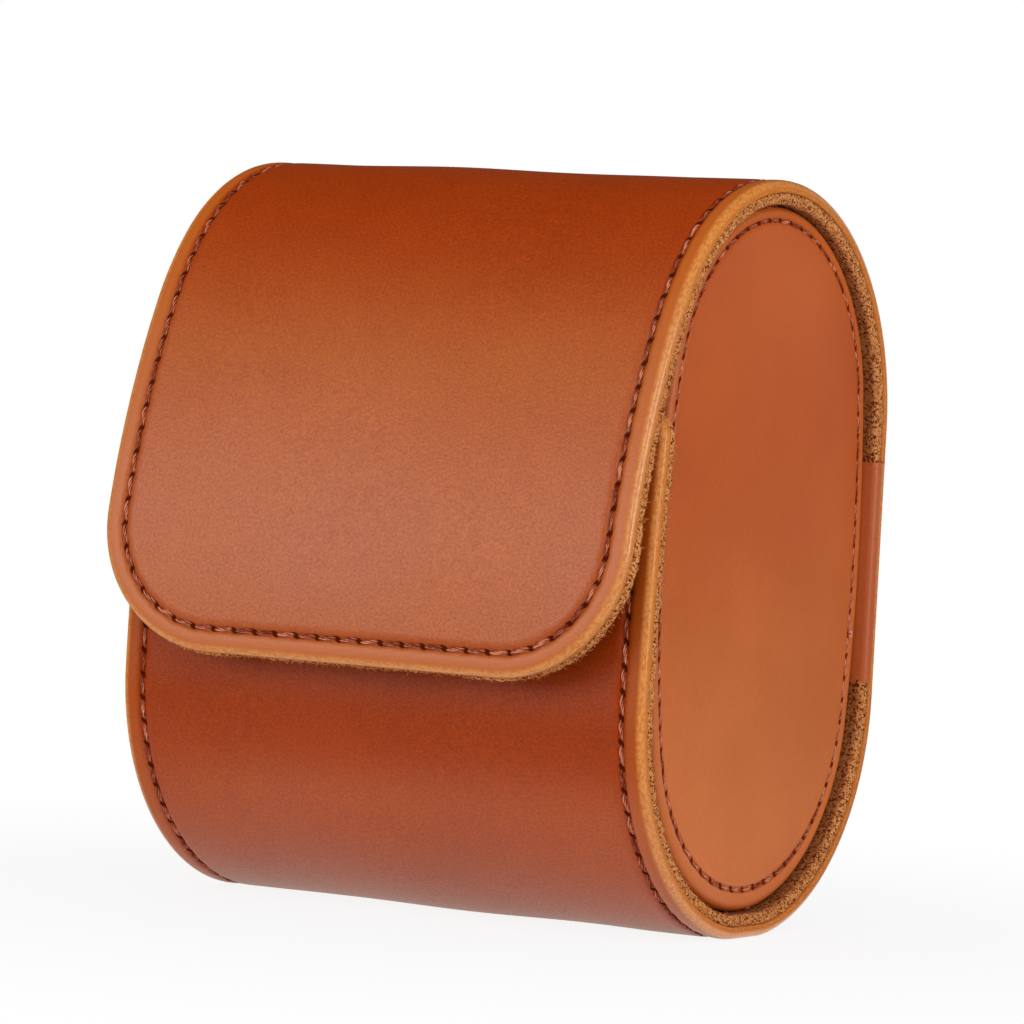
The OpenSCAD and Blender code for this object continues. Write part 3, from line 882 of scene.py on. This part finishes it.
def tubes(lines, radii, sides, up):
    """Points, faces and angles of many tubes at once. lines is (n, m, 3), radii (n, m), up (n, 1, 3)."""
    n, m, _ = lines.shape
    run = np.gradient(lines, axis=1)
    run /= np.linalg.norm(run, axis=-1, keepdims=True) + 1e-12
    side = np.cross(run, np.broadcast_to(up, lines.shape))
    side /= np.linalg.norm(side, axis=-1, keepdims=True) + 1e-12
    top = np.cross(side, run)
    turn = np.arange(sides) * 2 * math.pi / sides
    ring = side[:, :, None] * np.cos(turn)[:, None] + top[:, :, None] * np.sin(turn)[:, None]
    points = lines[:, :, None] + ring * radii[:, :, None, None]
    index = np.arange(n * m * sides).reshape(n, m, sides)
    wrapped = np.concatenate([index, index[:, :, :1]], 2)
    a, b = wrapped[:, :-1, :-1], wrapped[:, :-1, 1:]
    c, d = wrapped[:, 1:, 1:], wrapped[:, 1:, :-1]
    faces = np.stack([a, b, c, d], -1).reshape(-1, 4).tolist()
    faces += index[:, 0, ::-1].tolist() + index[:, -1].tolist()
    return points.reshape(-1, 3), faces, np.broadcast_to(turn, (n, m, sides)).reshape(-1)


def stitches(name, holes, outward, width, material, proud, seed):
    """Twisted thread from hole to hole, sunk in its groove. holes is (n + 1, 3), outward its normals."""
    rng = np.random.default_rng(seed)
    n = len(holes) - 1
    m, plies = 11, 2
    v = np.linspace(0, 1, m)[None, :, None]
    start, end = holes[:-1, None], holes[1:, None]
    out = (outward[:-1, None] + outward[1:, None]) / 2
    run = end - start
    across = np.cross(out, run)
    across /= np.linalg.norm(across, axis=-1, keepdims=True)
    rise = np.sin(math.pi * v) ** 0.4
    slant = 0.42 * width * (1 + rng.uniform(-0.3, 0.3, (n, 1, 1)))
    centre = start + run * (0.03 + 0.94 * v + rng.uniform(-0.02, 0.02, (n, 1, 1)))
    centre = centre + across * (slant * (2 * v - 1) + rng.uniform(-0.05, 0.05, (n, 1, 1)) * rise)
    top = proud - width / 2 + rng.uniform(-0.04, 0.04, (n, 1, 1))
    centre = centre + out * (top * rise - 0.8 * (1 - rise))
    lines = []
    for ply in range(plies):
        turn = 2 * math.pi * (1.1 * v + ply / plies) + rng.uniform(-0.4, 0.4, (n, 1, 1))
        lines.append(centre + (across * np.cos(turn) + out * np.sin(turn)) * width * 0.2)
    lines = np.concatenate(lines)
    radii = np.broadcast_to(width * 0.3 * (0.6 + 0.4 * rise[:, :, 0]), lines.shape[:2])
    points, faces, turns = tubes(lines, radii, 7, np.concatenate([out] * plies))
    along = np.broadcast_to(v[:, :, 0][:, :, None], (n * plies, m, 7)).reshape(-1)
    tint = np.repeat(np.tile(rng.uniform(0, 1, n), plies), m * 7)
    # Under the foot the thread is pressed level with the leather
    points[:, 2] = np.maximum(points[:, 2], 0)
    return make_piece(name, points, faces, material, seam=np.stack([along, turns, tint], -1))


def melted_end(name, place, out, radius, material):
    """The bead that a cut thread's end is melted to."""
    u = np.linspace(-1, 1, 9)
    line = np.asarray(place) + np.outer(u, out) * radius * 0.7
    radii = radius * np.sqrt(1.02 - u * u) * (1 + 0.1 * np.sin(5 * u))
    points, faces, turns = tubes(line[None], radii[None], 12, np.array([[[0.0, 0.0, 1.0]]]))
    seam = np.stack([np.full(len(turns), 0.5), turns, np.ones(len(turns))], -1)
    return make_piece(name, points, faces, material, seam=seam)


def seam_holes(pattern, pitch, depth, outward=1):
    """Holes along the stitch line of a strip, and the unit normals on the side that is asked for."""
    count = round(pattern.run[-1] / pitch)
    at = np.linspace(0, pattern.run[-1], count + 1)
    line = pattern.path(pattern.margin)
    across, along = np.interp(at, pattern.run, line[0]), np.interp(at, pattern.run, line[1])
    out = pattern.bends.axes(along, (1, 0))[1] * outward
    return pattern.bends.points(across, along, depth), out, pattern.run[-1] / count


def fray(name, pattern, peek, count, longest, material, seed):
    """Loose fibres along the suede's cut edge."""
    rng = np.random.default_rng(seed)
    k = np.arange(pattern.count)
    at_end = ramp(np.minimum(k, pattern.count - 1 - k), pattern.side_n * 0.86, pattern.side_n + pattern.corner_n)
    at = rng.uniform(0, pattern.run[-1], count)
    position = np.interp(at, pattern.run, k)
    stand = peek * np.interp(position, k, at_end)
    outline = pattern.path(0)
    inner = pattern.path(1)
    across, along = (np.interp(position, k, outline[i]) for i in (0, 1))
    away = np.stack([across - np.interp(position, k, inner[0]), along - np.interp(position, k, inner[1])])
    away /= np.linalg.norm(away, axis=0)
    hidden = (pattern.bends is CASE_BENDS) & (along < BEND_Z - STRIP_LOW[2] + 0.5)
    depth = rng.uniform(1.8, 3.2, count)
    size = longest * rng.uniform(0.25, 1, count) ** 1.6
    lean = rng.uniform(-1.3, 1.3, count)
    sink = rng.uniform(-0.35, 0.7, count)
    curl = rng.uniform(-1.2, 1.2, count)
    lines = []
    for t in np.linspace(0, 1, 5):
        reach = size * t
        bend = lean + curl * t
        out_by = stand - 0.12 + reach * np.cos(bend) * 0.75
        side_by = reach * np.sin(bend)
        a = across + away[0] * out_by - away[1] * side_by
        s = along + away[1] * out_by + away[0] * side_by
        lines.append(pattern.bends.points(a, s, depth + sink * reach))
    lines = np.stack(lines, 1)[~hidden]
    ups = pattern.bends.axes(along[~hidden], (1, 0))[1][:, None]
    radii = np.linspace(0.055, 0.02, 5)[None] * rng.uniform(0.7, 1.3, (len(lines), 1))
    points, faces, _ = tubes(lines, radii, 3, ups)
    return make_piece(name, points, faces, material)


# ---- Operators ----


class WATCHCASE_OT_wrap(bpy.types.Operator):
    """Makes the leather of the fixed wrap and of the flap"""

    bl_idname = "watch_case.wrap"
    bl_label = "Leather wrap"

    def execute(self, context):
        colours, sizes = settings()
        margin, pitch = sizes.wrap_margin / MM, sizes.wrap_stitch / MM
        for part, bends, corner_r in PARTS:
            pattern = Pattern(bends, 0, corner_r, 0.6, margin)
            beat = seam_holes(pattern, pitch, 0)[2]
            material = grain_leather(part + "_wrap_leather", tuple(colours.wrap), tuple(colours.edge), beat, margin)
            mesh = layer_mesh(pattern, list(leather_profile(pattern, beat)), 1)
            piece = make_piece(part + "_wrap", mesh[0], mesh[1], material, *mesh[2:])
            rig.replaces(piece, part + "_leather")
            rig.slot(piece, "wrap_leather")
            flap_or_case(piece, part)
        return {"FINISHED"}


class WATCHCASE_OT_lining(bpy.types.Operator):
    """Makes the suede lining with its cut, frayed edges"""

    bl_idname = "watch_case.lining"
    bl_label = "Suede lining"

    def execute(self, context):
        colours, sizes = settings()
        suede = raw_suede("suede_lining", tuple(colours.suede), 0.95, panel_shade=True)
        loose = raw_suede("suede_fibres", tuple(min(1, v * 1.15) for v in colours.suede), 0.15)
        for part, bends, corner_r in PARTS:
            peek = 0.45 if part is FLAP else 0.05
            pattern = Pattern(bends, 0.2, corner_r, 0.45, sizes.wrap_margin / MM)
            mesh = layer_mesh(pattern, list(lining_profile(pattern, peek, 3)), 0)
            piece = make_piece(part + "_suede", mesh[0], mesh[1], suede, *mesh[2:])
            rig.replaces(piece, part + "_lining")
            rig.slot(piece, "suede")
            flap_or_case(piece, part, LINING_BEND)
            fibres = fray(part + "_fray", pattern, peek, 2600, sizes.fibre / MM, loose, 11)
            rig.slot(fibres, "suede")
            flap_or_case(fibres, part, LINING_BEND)
        return {"FINISHED"}


def oval(inset, side_n, end_n):
    """Outline of an end panel set in by inset: (y, z) from its centre, from its foot up the back and round."""
    b = PANEL_HALF_H - inset
    halves = []
    for side_r in (PANEL_BACK_R, PANEL_FRONT_R):
        # The seam runs a little closer to the panel's edge at the sides than at the ends
        a, r = PANEL_HALF_D + PANEL_SWELL - inset * 0.8, side_r - inset
        end_r = (2 * r * a - a * a - b * b) / (2 * (r - b))
        turn = math.degrees(math.atan2(b - end_r, r - a))
        arcs = [
            ((0, end_r - b), end_r, 0, 90 - turn, end_n),
            ((a - r, 0), r, 90 - turn, 90 + turn, side_n),
            ((0, b - end_r), end_r, 90 + turn, 180, end_n),
        ]
        half = [(0, -b)]
        for (y, z), radius, low, high, count in arcs:
            angle = np.radians(low + (high - low) * np.arange(1, count + 1) / count)
            half.extend(zip(y + radius * np.sin(angle), z - radius * np.cos(angle)))
        halves.append(np.array(half))
    back, front = halves
    line = np.vstack([back, front[-2:0:-1] * [-1, 1]])
    return line + [0, 0.2 * min(inset, 3)]


OVAL_COUNTS = (90, 50)


def oval_run(inset):
    """Distance along an oval outline at each of its points, and round it."""
    line = oval(inset, *OVAL_COUNTS)
    steps = np.linalg.norm(np.diff(np.vstack([line, line[:1]]), axis=0), axis=1)
    return np.concatenate([[0], np.cumsum(steps)])


class WATCHCASE_OT_end_panels(bpy.types.Operator):
    """Makes the two oval end panels"""

    bl_idname = "watch_case.end_panels"
    bl_label = "End panels"

    def execute(self, context):
        colours, sizes = settings()
        margin = sizes.panel_margin / MM
        run = oval_run(margin)
        count = round(run[-1] / (sizes.panel_stitch / MM))
        beat = run[-1] / count
        pull = 0.5 + 0.5 * np.cos(2 * math.pi * run[:-1] / beat)
        material = smooth_leather("panel_leather", tuple(colours.panel), 0.42, margin, beat)
        crown = 0.45
        steps = [(12, 0.2), (9, 0.1), (7, 0.04), (5, 0.01)]
        steps += [(inset, -drop * 0.8) for inset, drop in seam_rings(margin)]
        steps = [s for s in steps if s[0] > 1.2]
        steps += [(1.0, -0.03), (0.7, -0.14), (0.42, -0.34), (0.2, -0.62), (0.05, -1), (0, -1.3), (0, -2), (5, -2)]
        for side, word in ((LEFT, "left"), (RIGHT, "right")):
            points, seams = [], []
            first = oval(12, *OVAL_COUNTS)
            for scale in (0.2, 0.4, 0.6, 0.8):
                x = np.full(len(first), PANEL_X + 0.2 + (crown - 0.2) * (1 - scale**2))
                points.append(np.column_stack([side * x, PANEL_Y + first[:, 0] * scale, PANEL_Z + first[:, 1] * scale]))
                seams.append(np.column_stack([run[:-1], 20 + 0 * x, 0 * x]))
            for inset, rise in steps:
                line = oval(inset, *OVAL_COUNTS)
                near = math.exp(-(((inset - margin) / 0.5) ** 2))
                x = PANEL_X + rise - near * 0.12 * pull
                points.append(np.column_stack([side * x, PANEL_Y + line[:, 0], PANEL_Z + line[:, 1]]))
                seams.append(np.column_stack([run[:-1], inset + 0 * x if rise > -1.9 else 20 + 0 * x, 0 * x]))
            rings = len(points)
            index = np.arange(rings * len(first)).reshape(rings, -1)
            faces = band_faces(index, closed=True)
            centre = rings * len(first)
            points.append([[side * (PANEL_X + crown), PANEL_Y, PANEL_Z]])
            seams.append([[0, 20, 0]])
            inner = index[0]
            faces += [[centre, int(a), int(b)] for a, b in zip(inner, np.roll(inner, -1))]
            caps = [index[-1].tolist()]
            piece = make_piece(
                "end_panel_face_" + word, np.concatenate(points), faces, material, seam=np.concatenate(seams), caps=caps
            )
            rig.replaces(piece, "end_panel_" + word)
            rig.slot(piece, "panel_leather")
            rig.ride(piece, CASE)
        return {"FINISHED"}


class WATCHCASE_OT_spine_strip(bpy.types.Operator):
    """Makes the smooth strip inside the back, turned over both rims"""

    bl_idname = "watch_case.spine_strip"
    bl_label = "Spine strip"

    def execute(self, context):
        colours, _ = settings()
        material = smooth_leather("strip_leather", tuple(colours.strip), 0.34)
        inner_y, turned_y = STRIP_LOW[1], STRIP_HIGH[1]
        rim_x, thick = HALF_W + 0.12, 0.8
        mid_y, reach_y = (inner_y + turned_y) / 2, (turned_y - inner_y) / 2
        round_x = 1.15
        half = [(x, inner_y - 0.08 - 0.03 * math.sin(x / 5.0)) for x in np.linspace(0, rim_x - round_x - 0.6, 40)]
        for turn in np.linspace(-90, 78, 18):
            a = math.radians(turn)
            half.append((rim_x - round_x + round_x * math.cos(a) ** 0.8 if turn < 89 else rim_x, mid_y + reach_y * math.sin(a)))
        outer = np.array([(-x, y) for x, y in half[:0:-1]] + half)
        run = np.gradient(outer, axis=0)
        run /= np.linalg.norm(run, axis=1, keepdims=True)
        inward = np.stack([-run[:, 1], run[:, 0]], -1)
        low_z, high_z = STRIP_LOW[2], STRIP_HIGH[2]
        tall = high_z - low_z
        heights = [0, 0.15, 0.5, 1.2, 2.2, *np.linspace(4, tall - 3, 16)]
        heights += [tall - away for away in (1.5, 0.7, 0.35, 0.12, 0)]
        points = []
        for height in heights:
            skive = 0.3 + 0.7 * min(1, height / 2.2)
            crisp = math.sqrt(max(0.1, min(1, (tall - height) / 0.3)))
            t = thick * skive * crisp
            sunk = thick * (1 - skive * crisp)
            front, back = outer + inward * sunk * 0.1, outer + inward * (sunk * 0.1 + t)
            ring = np.vstack([front, back[::-1]])
            points.append(np.column_stack([ring[:, 0], ring[:, 1], np.full(len(ring), low_z + height)]))
        index = np.arange(len(heights) * len(points[0])).reshape(len(heights), -1)
        n = len(outer)
        caps = []
        for row in (index[0], index[-1]):
            caps += [[int(row[i]), int(row[i + 1]), int(row[2 * n - 2 - i]), int(row[2 * n - 1 - i])] for i in range(n - 1)]
        piece = make_piece("spine_strip_leather", np.concatenate(points), band_faces(index, closed=True), material, caps=caps)
        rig.replaces(piece, "spine_strip")
        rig.slot(piece, "strip_leather")
        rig.ride(piece, CASE)
        return {"FINISHED"}


class WATCHCASE_OT_stitches(bpy.types.Operator):
    """Sews the wrap, the flap and both end panels, stitch by stitch"""

    bl_idname = "watch_case.stitches"
    bl_label = "Stitches"

    def execute(self, context):
        colours, sizes = settings()
        thread = waxed_thread("waxed_thread", tuple(colours.thread))
        width = sizes.thread / MM
        for part, bends, corner_r in PARTS:
            pattern = Pattern(bends, 0, corner_r, 0.6, sizes.wrap_margin / MM)
            for word, depth, outward, proud, bend in (
                ("outer", 0, 1, 0.06, LEATHER_BEND),
                ("inner", WALL, -1, 0.2, LINING_BEND),
            ):
                holes, out, _ = seam_holes(pattern, sizes.wrap_stitch / MM, depth, outward)
                piece = stitches(f"{part}_stitches_{word}", holes, out, width, thread, proud, 21)
                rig.slot(piece, "wrap_leather")
                flap_or_case(piece, part, bend)
        margin = sizes.panel_margin / MM
        run = oval_run(margin)
        count = round(run[-1] / (sizes.panel_stitch / MM))
        line = oval(margin, *OVAL_COUNTS)
        line = np.vstack([line, line[:1]])
        at = np.linspace(0, run[-1], count + 1)
        y, z = (np.interp(at, run, line[:, i]) for i in (0, 1))
        for side, word in ((LEFT, "left"), (RIGHT, "right")):
            holes = np.column_stack([np.full(count + 1, side * PANEL_X), PANEL_Y + y, PANEL_Z + z])
            out = np.tile([side, 0, 0], (count + 1, 1)).astype(float)
            piece = stitches("end_stitches_" + word, holes, out, width * 0.85, thread, 0.04, 31)
            at_back = np.flatnonzero((holes[:, 1] > PANEL_Y) & (holes[:, 2] > THREAD_END_Z))[0]
            bead = melted_end("thread_end_" + word, holes[at_back] + out[0] * 0.1, out[0], width * 0.85, thread)
            for sewn in (piece, bead):
                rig.slot(sewn, "panel_leather")
                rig.ride(sewn, CASE)
        return {"FINISHED"}


class WATCHCASE_OT_pillow(bpy.types.Operator):
    """Makes the soft pillow that the watch is strapped round"""

    bl_idname = "watch_case.pillow"
    bl_label = "Pillow"

    def execute(self, context):
        colours, _ = settings()
        suede = raw_suede("pillow_suede", tuple(colours.pillow), 0.25, size=0.8)
        half_w, r = PILLOW_HIGH[0], PILLOW_HIGH[1]
        low, high = PILLOW_LOW[2] + r, PILLOW_HIGH[2] - r
        n = 160
        angle = np.linspace(0, 2 * math.pi, n, endpoint=False)
        shift = np.where(np.sin(angle) >= 0, high, low)
        direction = np.stack([np.cos(angle), np.sin(angle)], -1)
        round_about = angle / (2 * math.pi) * (2 * math.pi * r + 2 * (high - low))
        stations = [
            (0.999, 11), (0.998, 6.5), (0.995, 3.8), (0.985, 2.0), (0.972, 0.95), (0.955, 0.35), (0.935, 0.06),
            (0.915, 0.1), (0.895, 0.3), (0.875, 0.34), (0.855, 0.2), (0.82, 0.06), (0.75, 0.0), (0.65, 0.0),
            (0.5, 0.0), (0.34, 0.0), (0.17, 0.0), (0, 0.0),
        ]  # fmt: skip
        sides = [(-x, inset) for x, inset in stations] + stations[-2::-1]
        points = []
        for share, inset in sides:
            pucker = 0.12 * math.exp(-(((abs(share) - 0.88) / 0.05) ** 2)) * np.cos(2 * math.pi * round_about / 3.4)
            soft = [
                0.35 * noise.noise(Vector((share * 2.2, d[0] * 1.7, d[1] * 1.7 + 3))) for d in direction
            ]
            reach = r - 0.35 - inset + pucker + np.array(soft)
            y, z = direction[:, 0] * reach, direction[:, 1] * reach + shift
            points.append(np.column_stack([np.full(n, share * (half_w - 0.2)), y, z]))
        index = np.arange(len(sides) * n).reshape(len(sides), n)
        faces = band_faces(index, closed=True)
        total = index.size
        for row, x in ((index[0], -half_w + 0.2), (index[-1], half_w - 0.2)):
            middle = [total, total + 1]
            points.append([[x, 0, low + 4], [x, 0, high - 4]])
            total += 2
            for i in range(n):
                a, b = int(row[i]), int(row[(i + 1) % n])
                end_a, end_b = (middle[1] if shift[k % n] > (low + high) / 2 else middle[0] for k in (i, i + 1))
                faces.append([a, b, end_b, end_a] if end_a != end_b else [a, b, end_a])
        piece = make_piece("pillow_soft", np.concatenate(points), faces, suede)
        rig.replaces(piece, "pillow_core", "pillow_cover", "pillow_end_left", "pillow_end_right")
        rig.slot(piece, "suede")
        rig.ride(piece, PILLOW)
        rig.padded(piece, fill=0.85)
        return {"FINISHED"}


class WATCHCASE_OT_fittings(bpy.types.Operator):
    """Gives boards, tabs, inner linings and magnets their finishes"""

    bl_idname = "watch_case.fittings"
    bl_label = "Boards, tabs and magnets"

    def execute(self, context):
        colours, _ = settings()
        board = pressed_board("pressed_board", tuple(colours.board))
        metal = plated_metal("magnet_plating", tuple(colours.magnet))
        suede = raw_suede("end_lining_suede", tuple(colours.suede), 0.35, "object")
        tab = smooth_leather("tab_leather", tuple(colours.strip), 0.42)
        for name, node in frame["nodes"].items():
            finish_of = {"end_board": board, "magnet": metal, "end_lining": suede, "end_tab": tab}
            for word, material in finish_of.items():
                if word in name:
                    node.data.materials.clear()
                    node.data.materials.append(material)
        for name in ("end_tab_left", "end_tab_right"):
            mesh = frame["nodes"][name].data
            layer = mesh.attributes.new("flat", "FLOAT_VECTOR", "POINT")
            layer.data.foreach_set("vector", np.array([v.co for v in mesh.vertices], np.float32).ravel())
        return {"FINISHED"}


class WATCHCASE_OT_stage(bpy.types.Operator):
    """Sets the floor, the soft lights, the world and the camera"""

    bl_idname = "watch_case.stage"
    bl_label = "Stage"

    def execute(self, context):
        scene = context.scene
        scene.view_settings.view_transform = "Standard"
        self.floor()
        self.world(scene)
        self.light("key_softbox", (-0.50, -0.88, 0.29), (0.0, -0.03, 0.055), (0.6, 0.44), 3.7)
        self.light("fill_softbox", (0.62, -0.95, 0.62), (0.0, 0.0, 0.05), (0.5, 0.5), 2.6)
        self.light("side_softbox", (0.98, -0.12, 0.24), (0.0, 0.0, 0.05), (0.4, 0.5), 4.6)
        self.camera(scene)
        return {"FINISHED"}

    def floor(self):
        mesh = bpy.data.meshes.new("floor")
        n, reach = 24, 3.0
        grid = np.linspace(-reach, reach, n + 1)
        points = [(x, y, 0) for y in grid for x in grid]
        index = np.arange((n + 1) ** 2).reshape(n + 1, n + 1)
        mesh.from_pydata(points, [], band_faces(index))
        floor = bpy.data.objects.new("floor", mesh)
        bpy.context.scene.collection.objects.link(floor)
        f = finish("pale_floor")
        place = f.node("TexCoord", {}, {}, "Object")
        away = f.node("VectorMath", {"operation": "LENGTH"}, {0: place}, "Value")
        paint = f.node("BsdfDiffuse", {}, {"Color": (0.92, 0.92, 0.92)})
        # Mirrored in the leather, the floor is bright under the case and beside its end panels
        beside = f.parts(place)[0].math("ABSOLUTE").ramp(0.042, 0.07) * away.ramp(0.3, 0.12)
        bright = away.ramp(0.08, 0.04).math("MAXIMUM", beside * 0.55)
        mirrored = f.mix(bright, (0.06, 0.06, 0.06), (1, 0.94, 0.84))
        rays = f.tree.nodes.new("ShaderNodeLightPath")
        camera_ray = Value(rays.outputs["Is Camera Ray"])
        glow = f.node("Emission", {}, {"Color": f.mix(camera_ray, mirrored, (1, 1, 1)), "Strength": 1.0})
        seen = camera_ray.math("MAXIMUM", Value(rays.outputs["Is Glossy Ray"]))
        seen = seen.math("MAXIMUM", Value(rays.outputs["Is Transmission Ray"]))
        white = away.ramp(0.05, 0.18) * 0.12 + 0.88
        both = f.node("MixShader", {}, {0: seen * white, 1: paint, 2: glow})
        f.node("OutputMaterial", {}, {"Surface": both})
        mesh.materials.append(f.owner)
        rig.stage(floor)

    def world(self, scene):
        w = Nodes(bpy.data.worlds.new("studio"))
        scene.world = w.owner
        rays = w.tree.nodes.new("ShaderNodeLightPath")
        camera_ray = Value(rays.outputs["Is Camera Ray"])
        seen = camera_ray.math("MAXIMUM", Value(rays.outputs["Is Glossy Ray"]))
        seen = seen.math("MAXIMUM", Value(rays.outputs["Is Transmission Ray"]))
        _, back, height = w.parts(w.node("TexCoord", {}, {}, "Generated"))
        low = height.ramp(0.35, 0.05)
        behind = back.ramp(0.2, 0.7) * 0.25 + back.ramp(0.9, 0.97) * 0.65
        mirrored = w.mix(behind * low, (0.03, 0.03, 0.03), (1, 1, 1))
        tone = w.mix(seen, (0.5, 0.5, 0.5), w.mix(camera_ray, mirrored, (1, 1, 1)))
        shade = w.node("Background", {}, {"Color": tone, "Strength": 1.0})
        w.node("OutputWorld", {}, {"Surface": shade})

    def light(self, name, place, target, size, radiance):
        data = bpy.data.lights.new(name, "AREA")
        data.shape = "RECTANGLE"
        data.size, data.size_y = size
        data.energy = radiance * math.pi * size[0] * size[1]
        lamp = bpy.data.objects.new(name, data)
        bpy.context.scene.collection.objects.link(lamp)
        lamp.location = place
        lamp.rotation_mode = "QUATERNION"
        lamp.rotation_quaternion = (Vector(target) - Vector(place)).to_track_quat("-Z", "Y")

    def camera(self, scene):
        azimuth, elevation, roll = (math.radians(v) for v in (31.0087, 1.9532, 3.0992))
        back = Vector(
            (math.sin(azimuth) * math.cos(elevation), -math.cos(azimuth) * math.cos(elevation), math.sin(elevation))
        )
        right = Vector((math.cos(azimuth), math.sin(azimuth), 0))
        up = back.cross(right)
        across = right * math.cos(roll) + up * math.sin(roll)
        upward = up * math.cos(roll) - right * math.sin(roll)
        data = bpy.data.cameras.new("camera")
        data.sensor_width = 36
        data.lens = 197.5
        data.shift_x, data.shift_y = 0.0037, 0.0281
        camera = bpy.data.objects.new("camera", data)
        scene.collection.objects.link(camera)
        place = Vector((0, 0, 0.05)) + back * 0.7601
        camera.matrix_world = Matrix.Translation(place) @ Matrix((across, upward, back)).transposed().to_4x4()
        scene.camera = camera


STEPS = (
    WATCHCASE_OT_stage,
    WATCHCASE_OT_wrap,
    WATCHCASE_OT_lining,
    WATCHCASE_OT_end_panels,
    WATCHCASE_OT_spine_strip,
    WATCHCASE_OT_stitches,
    WATCHCASE_OT_pillow,
    WATCHCASE_OT_fittings,
)


class WATCHCASE_PT_panel(bpy.types.Panel):
    """Lists the case's settings and the steps that make it"""

    bl_idname = "WATCHCASE_PT_panel"
    bl_label = "Watch case"
    bl_space_type = "VIEW_3D"
    bl_region_type = "UI"
    bl_category = "Watch case"

    def draw(self, context):
        for group in settings():
            box = self.layout.box()
            for key in group.__annotations__:
                box.prop(group, key)
        for step in STEPS:
            self.layout.operator(step.bl_idname)


CLASSES = (CaseColours, CaseSizes, *STEPS, WATCHCASE_PT_panel)


def register():
    for made in CLASSES:
        bpy.utils.register_class(made)
    bpy.types.Scene.watch_case_colours = bpy.props.PointerProperty(type=CaseColours)
    bpy.types.Scene.watch_case_sizes = bpy.props.PointerProperty(type=CaseSizes)


def unregister():
    del bpy.types.Scene.watch_case_sizes
    del bpy.types.Scene.watch_case_colours
    for made in reversed(CLASSES):
        bpy.utils.unregister_class(made)


def main():
    cad_box = [list(corner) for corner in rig.bounds()]
    register()
    for step in STEPS:
        group, name = step.bl_idname.split(".")
        getattr(getattr(bpy.ops, group), name)()
    visual_box = [list(corner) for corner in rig.bounds()]
    with open("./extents.json", "w") as out:
        json.dump({"cad": cad_box, "visual": visual_box}, out)


if __name__ == "__main__":
    main()
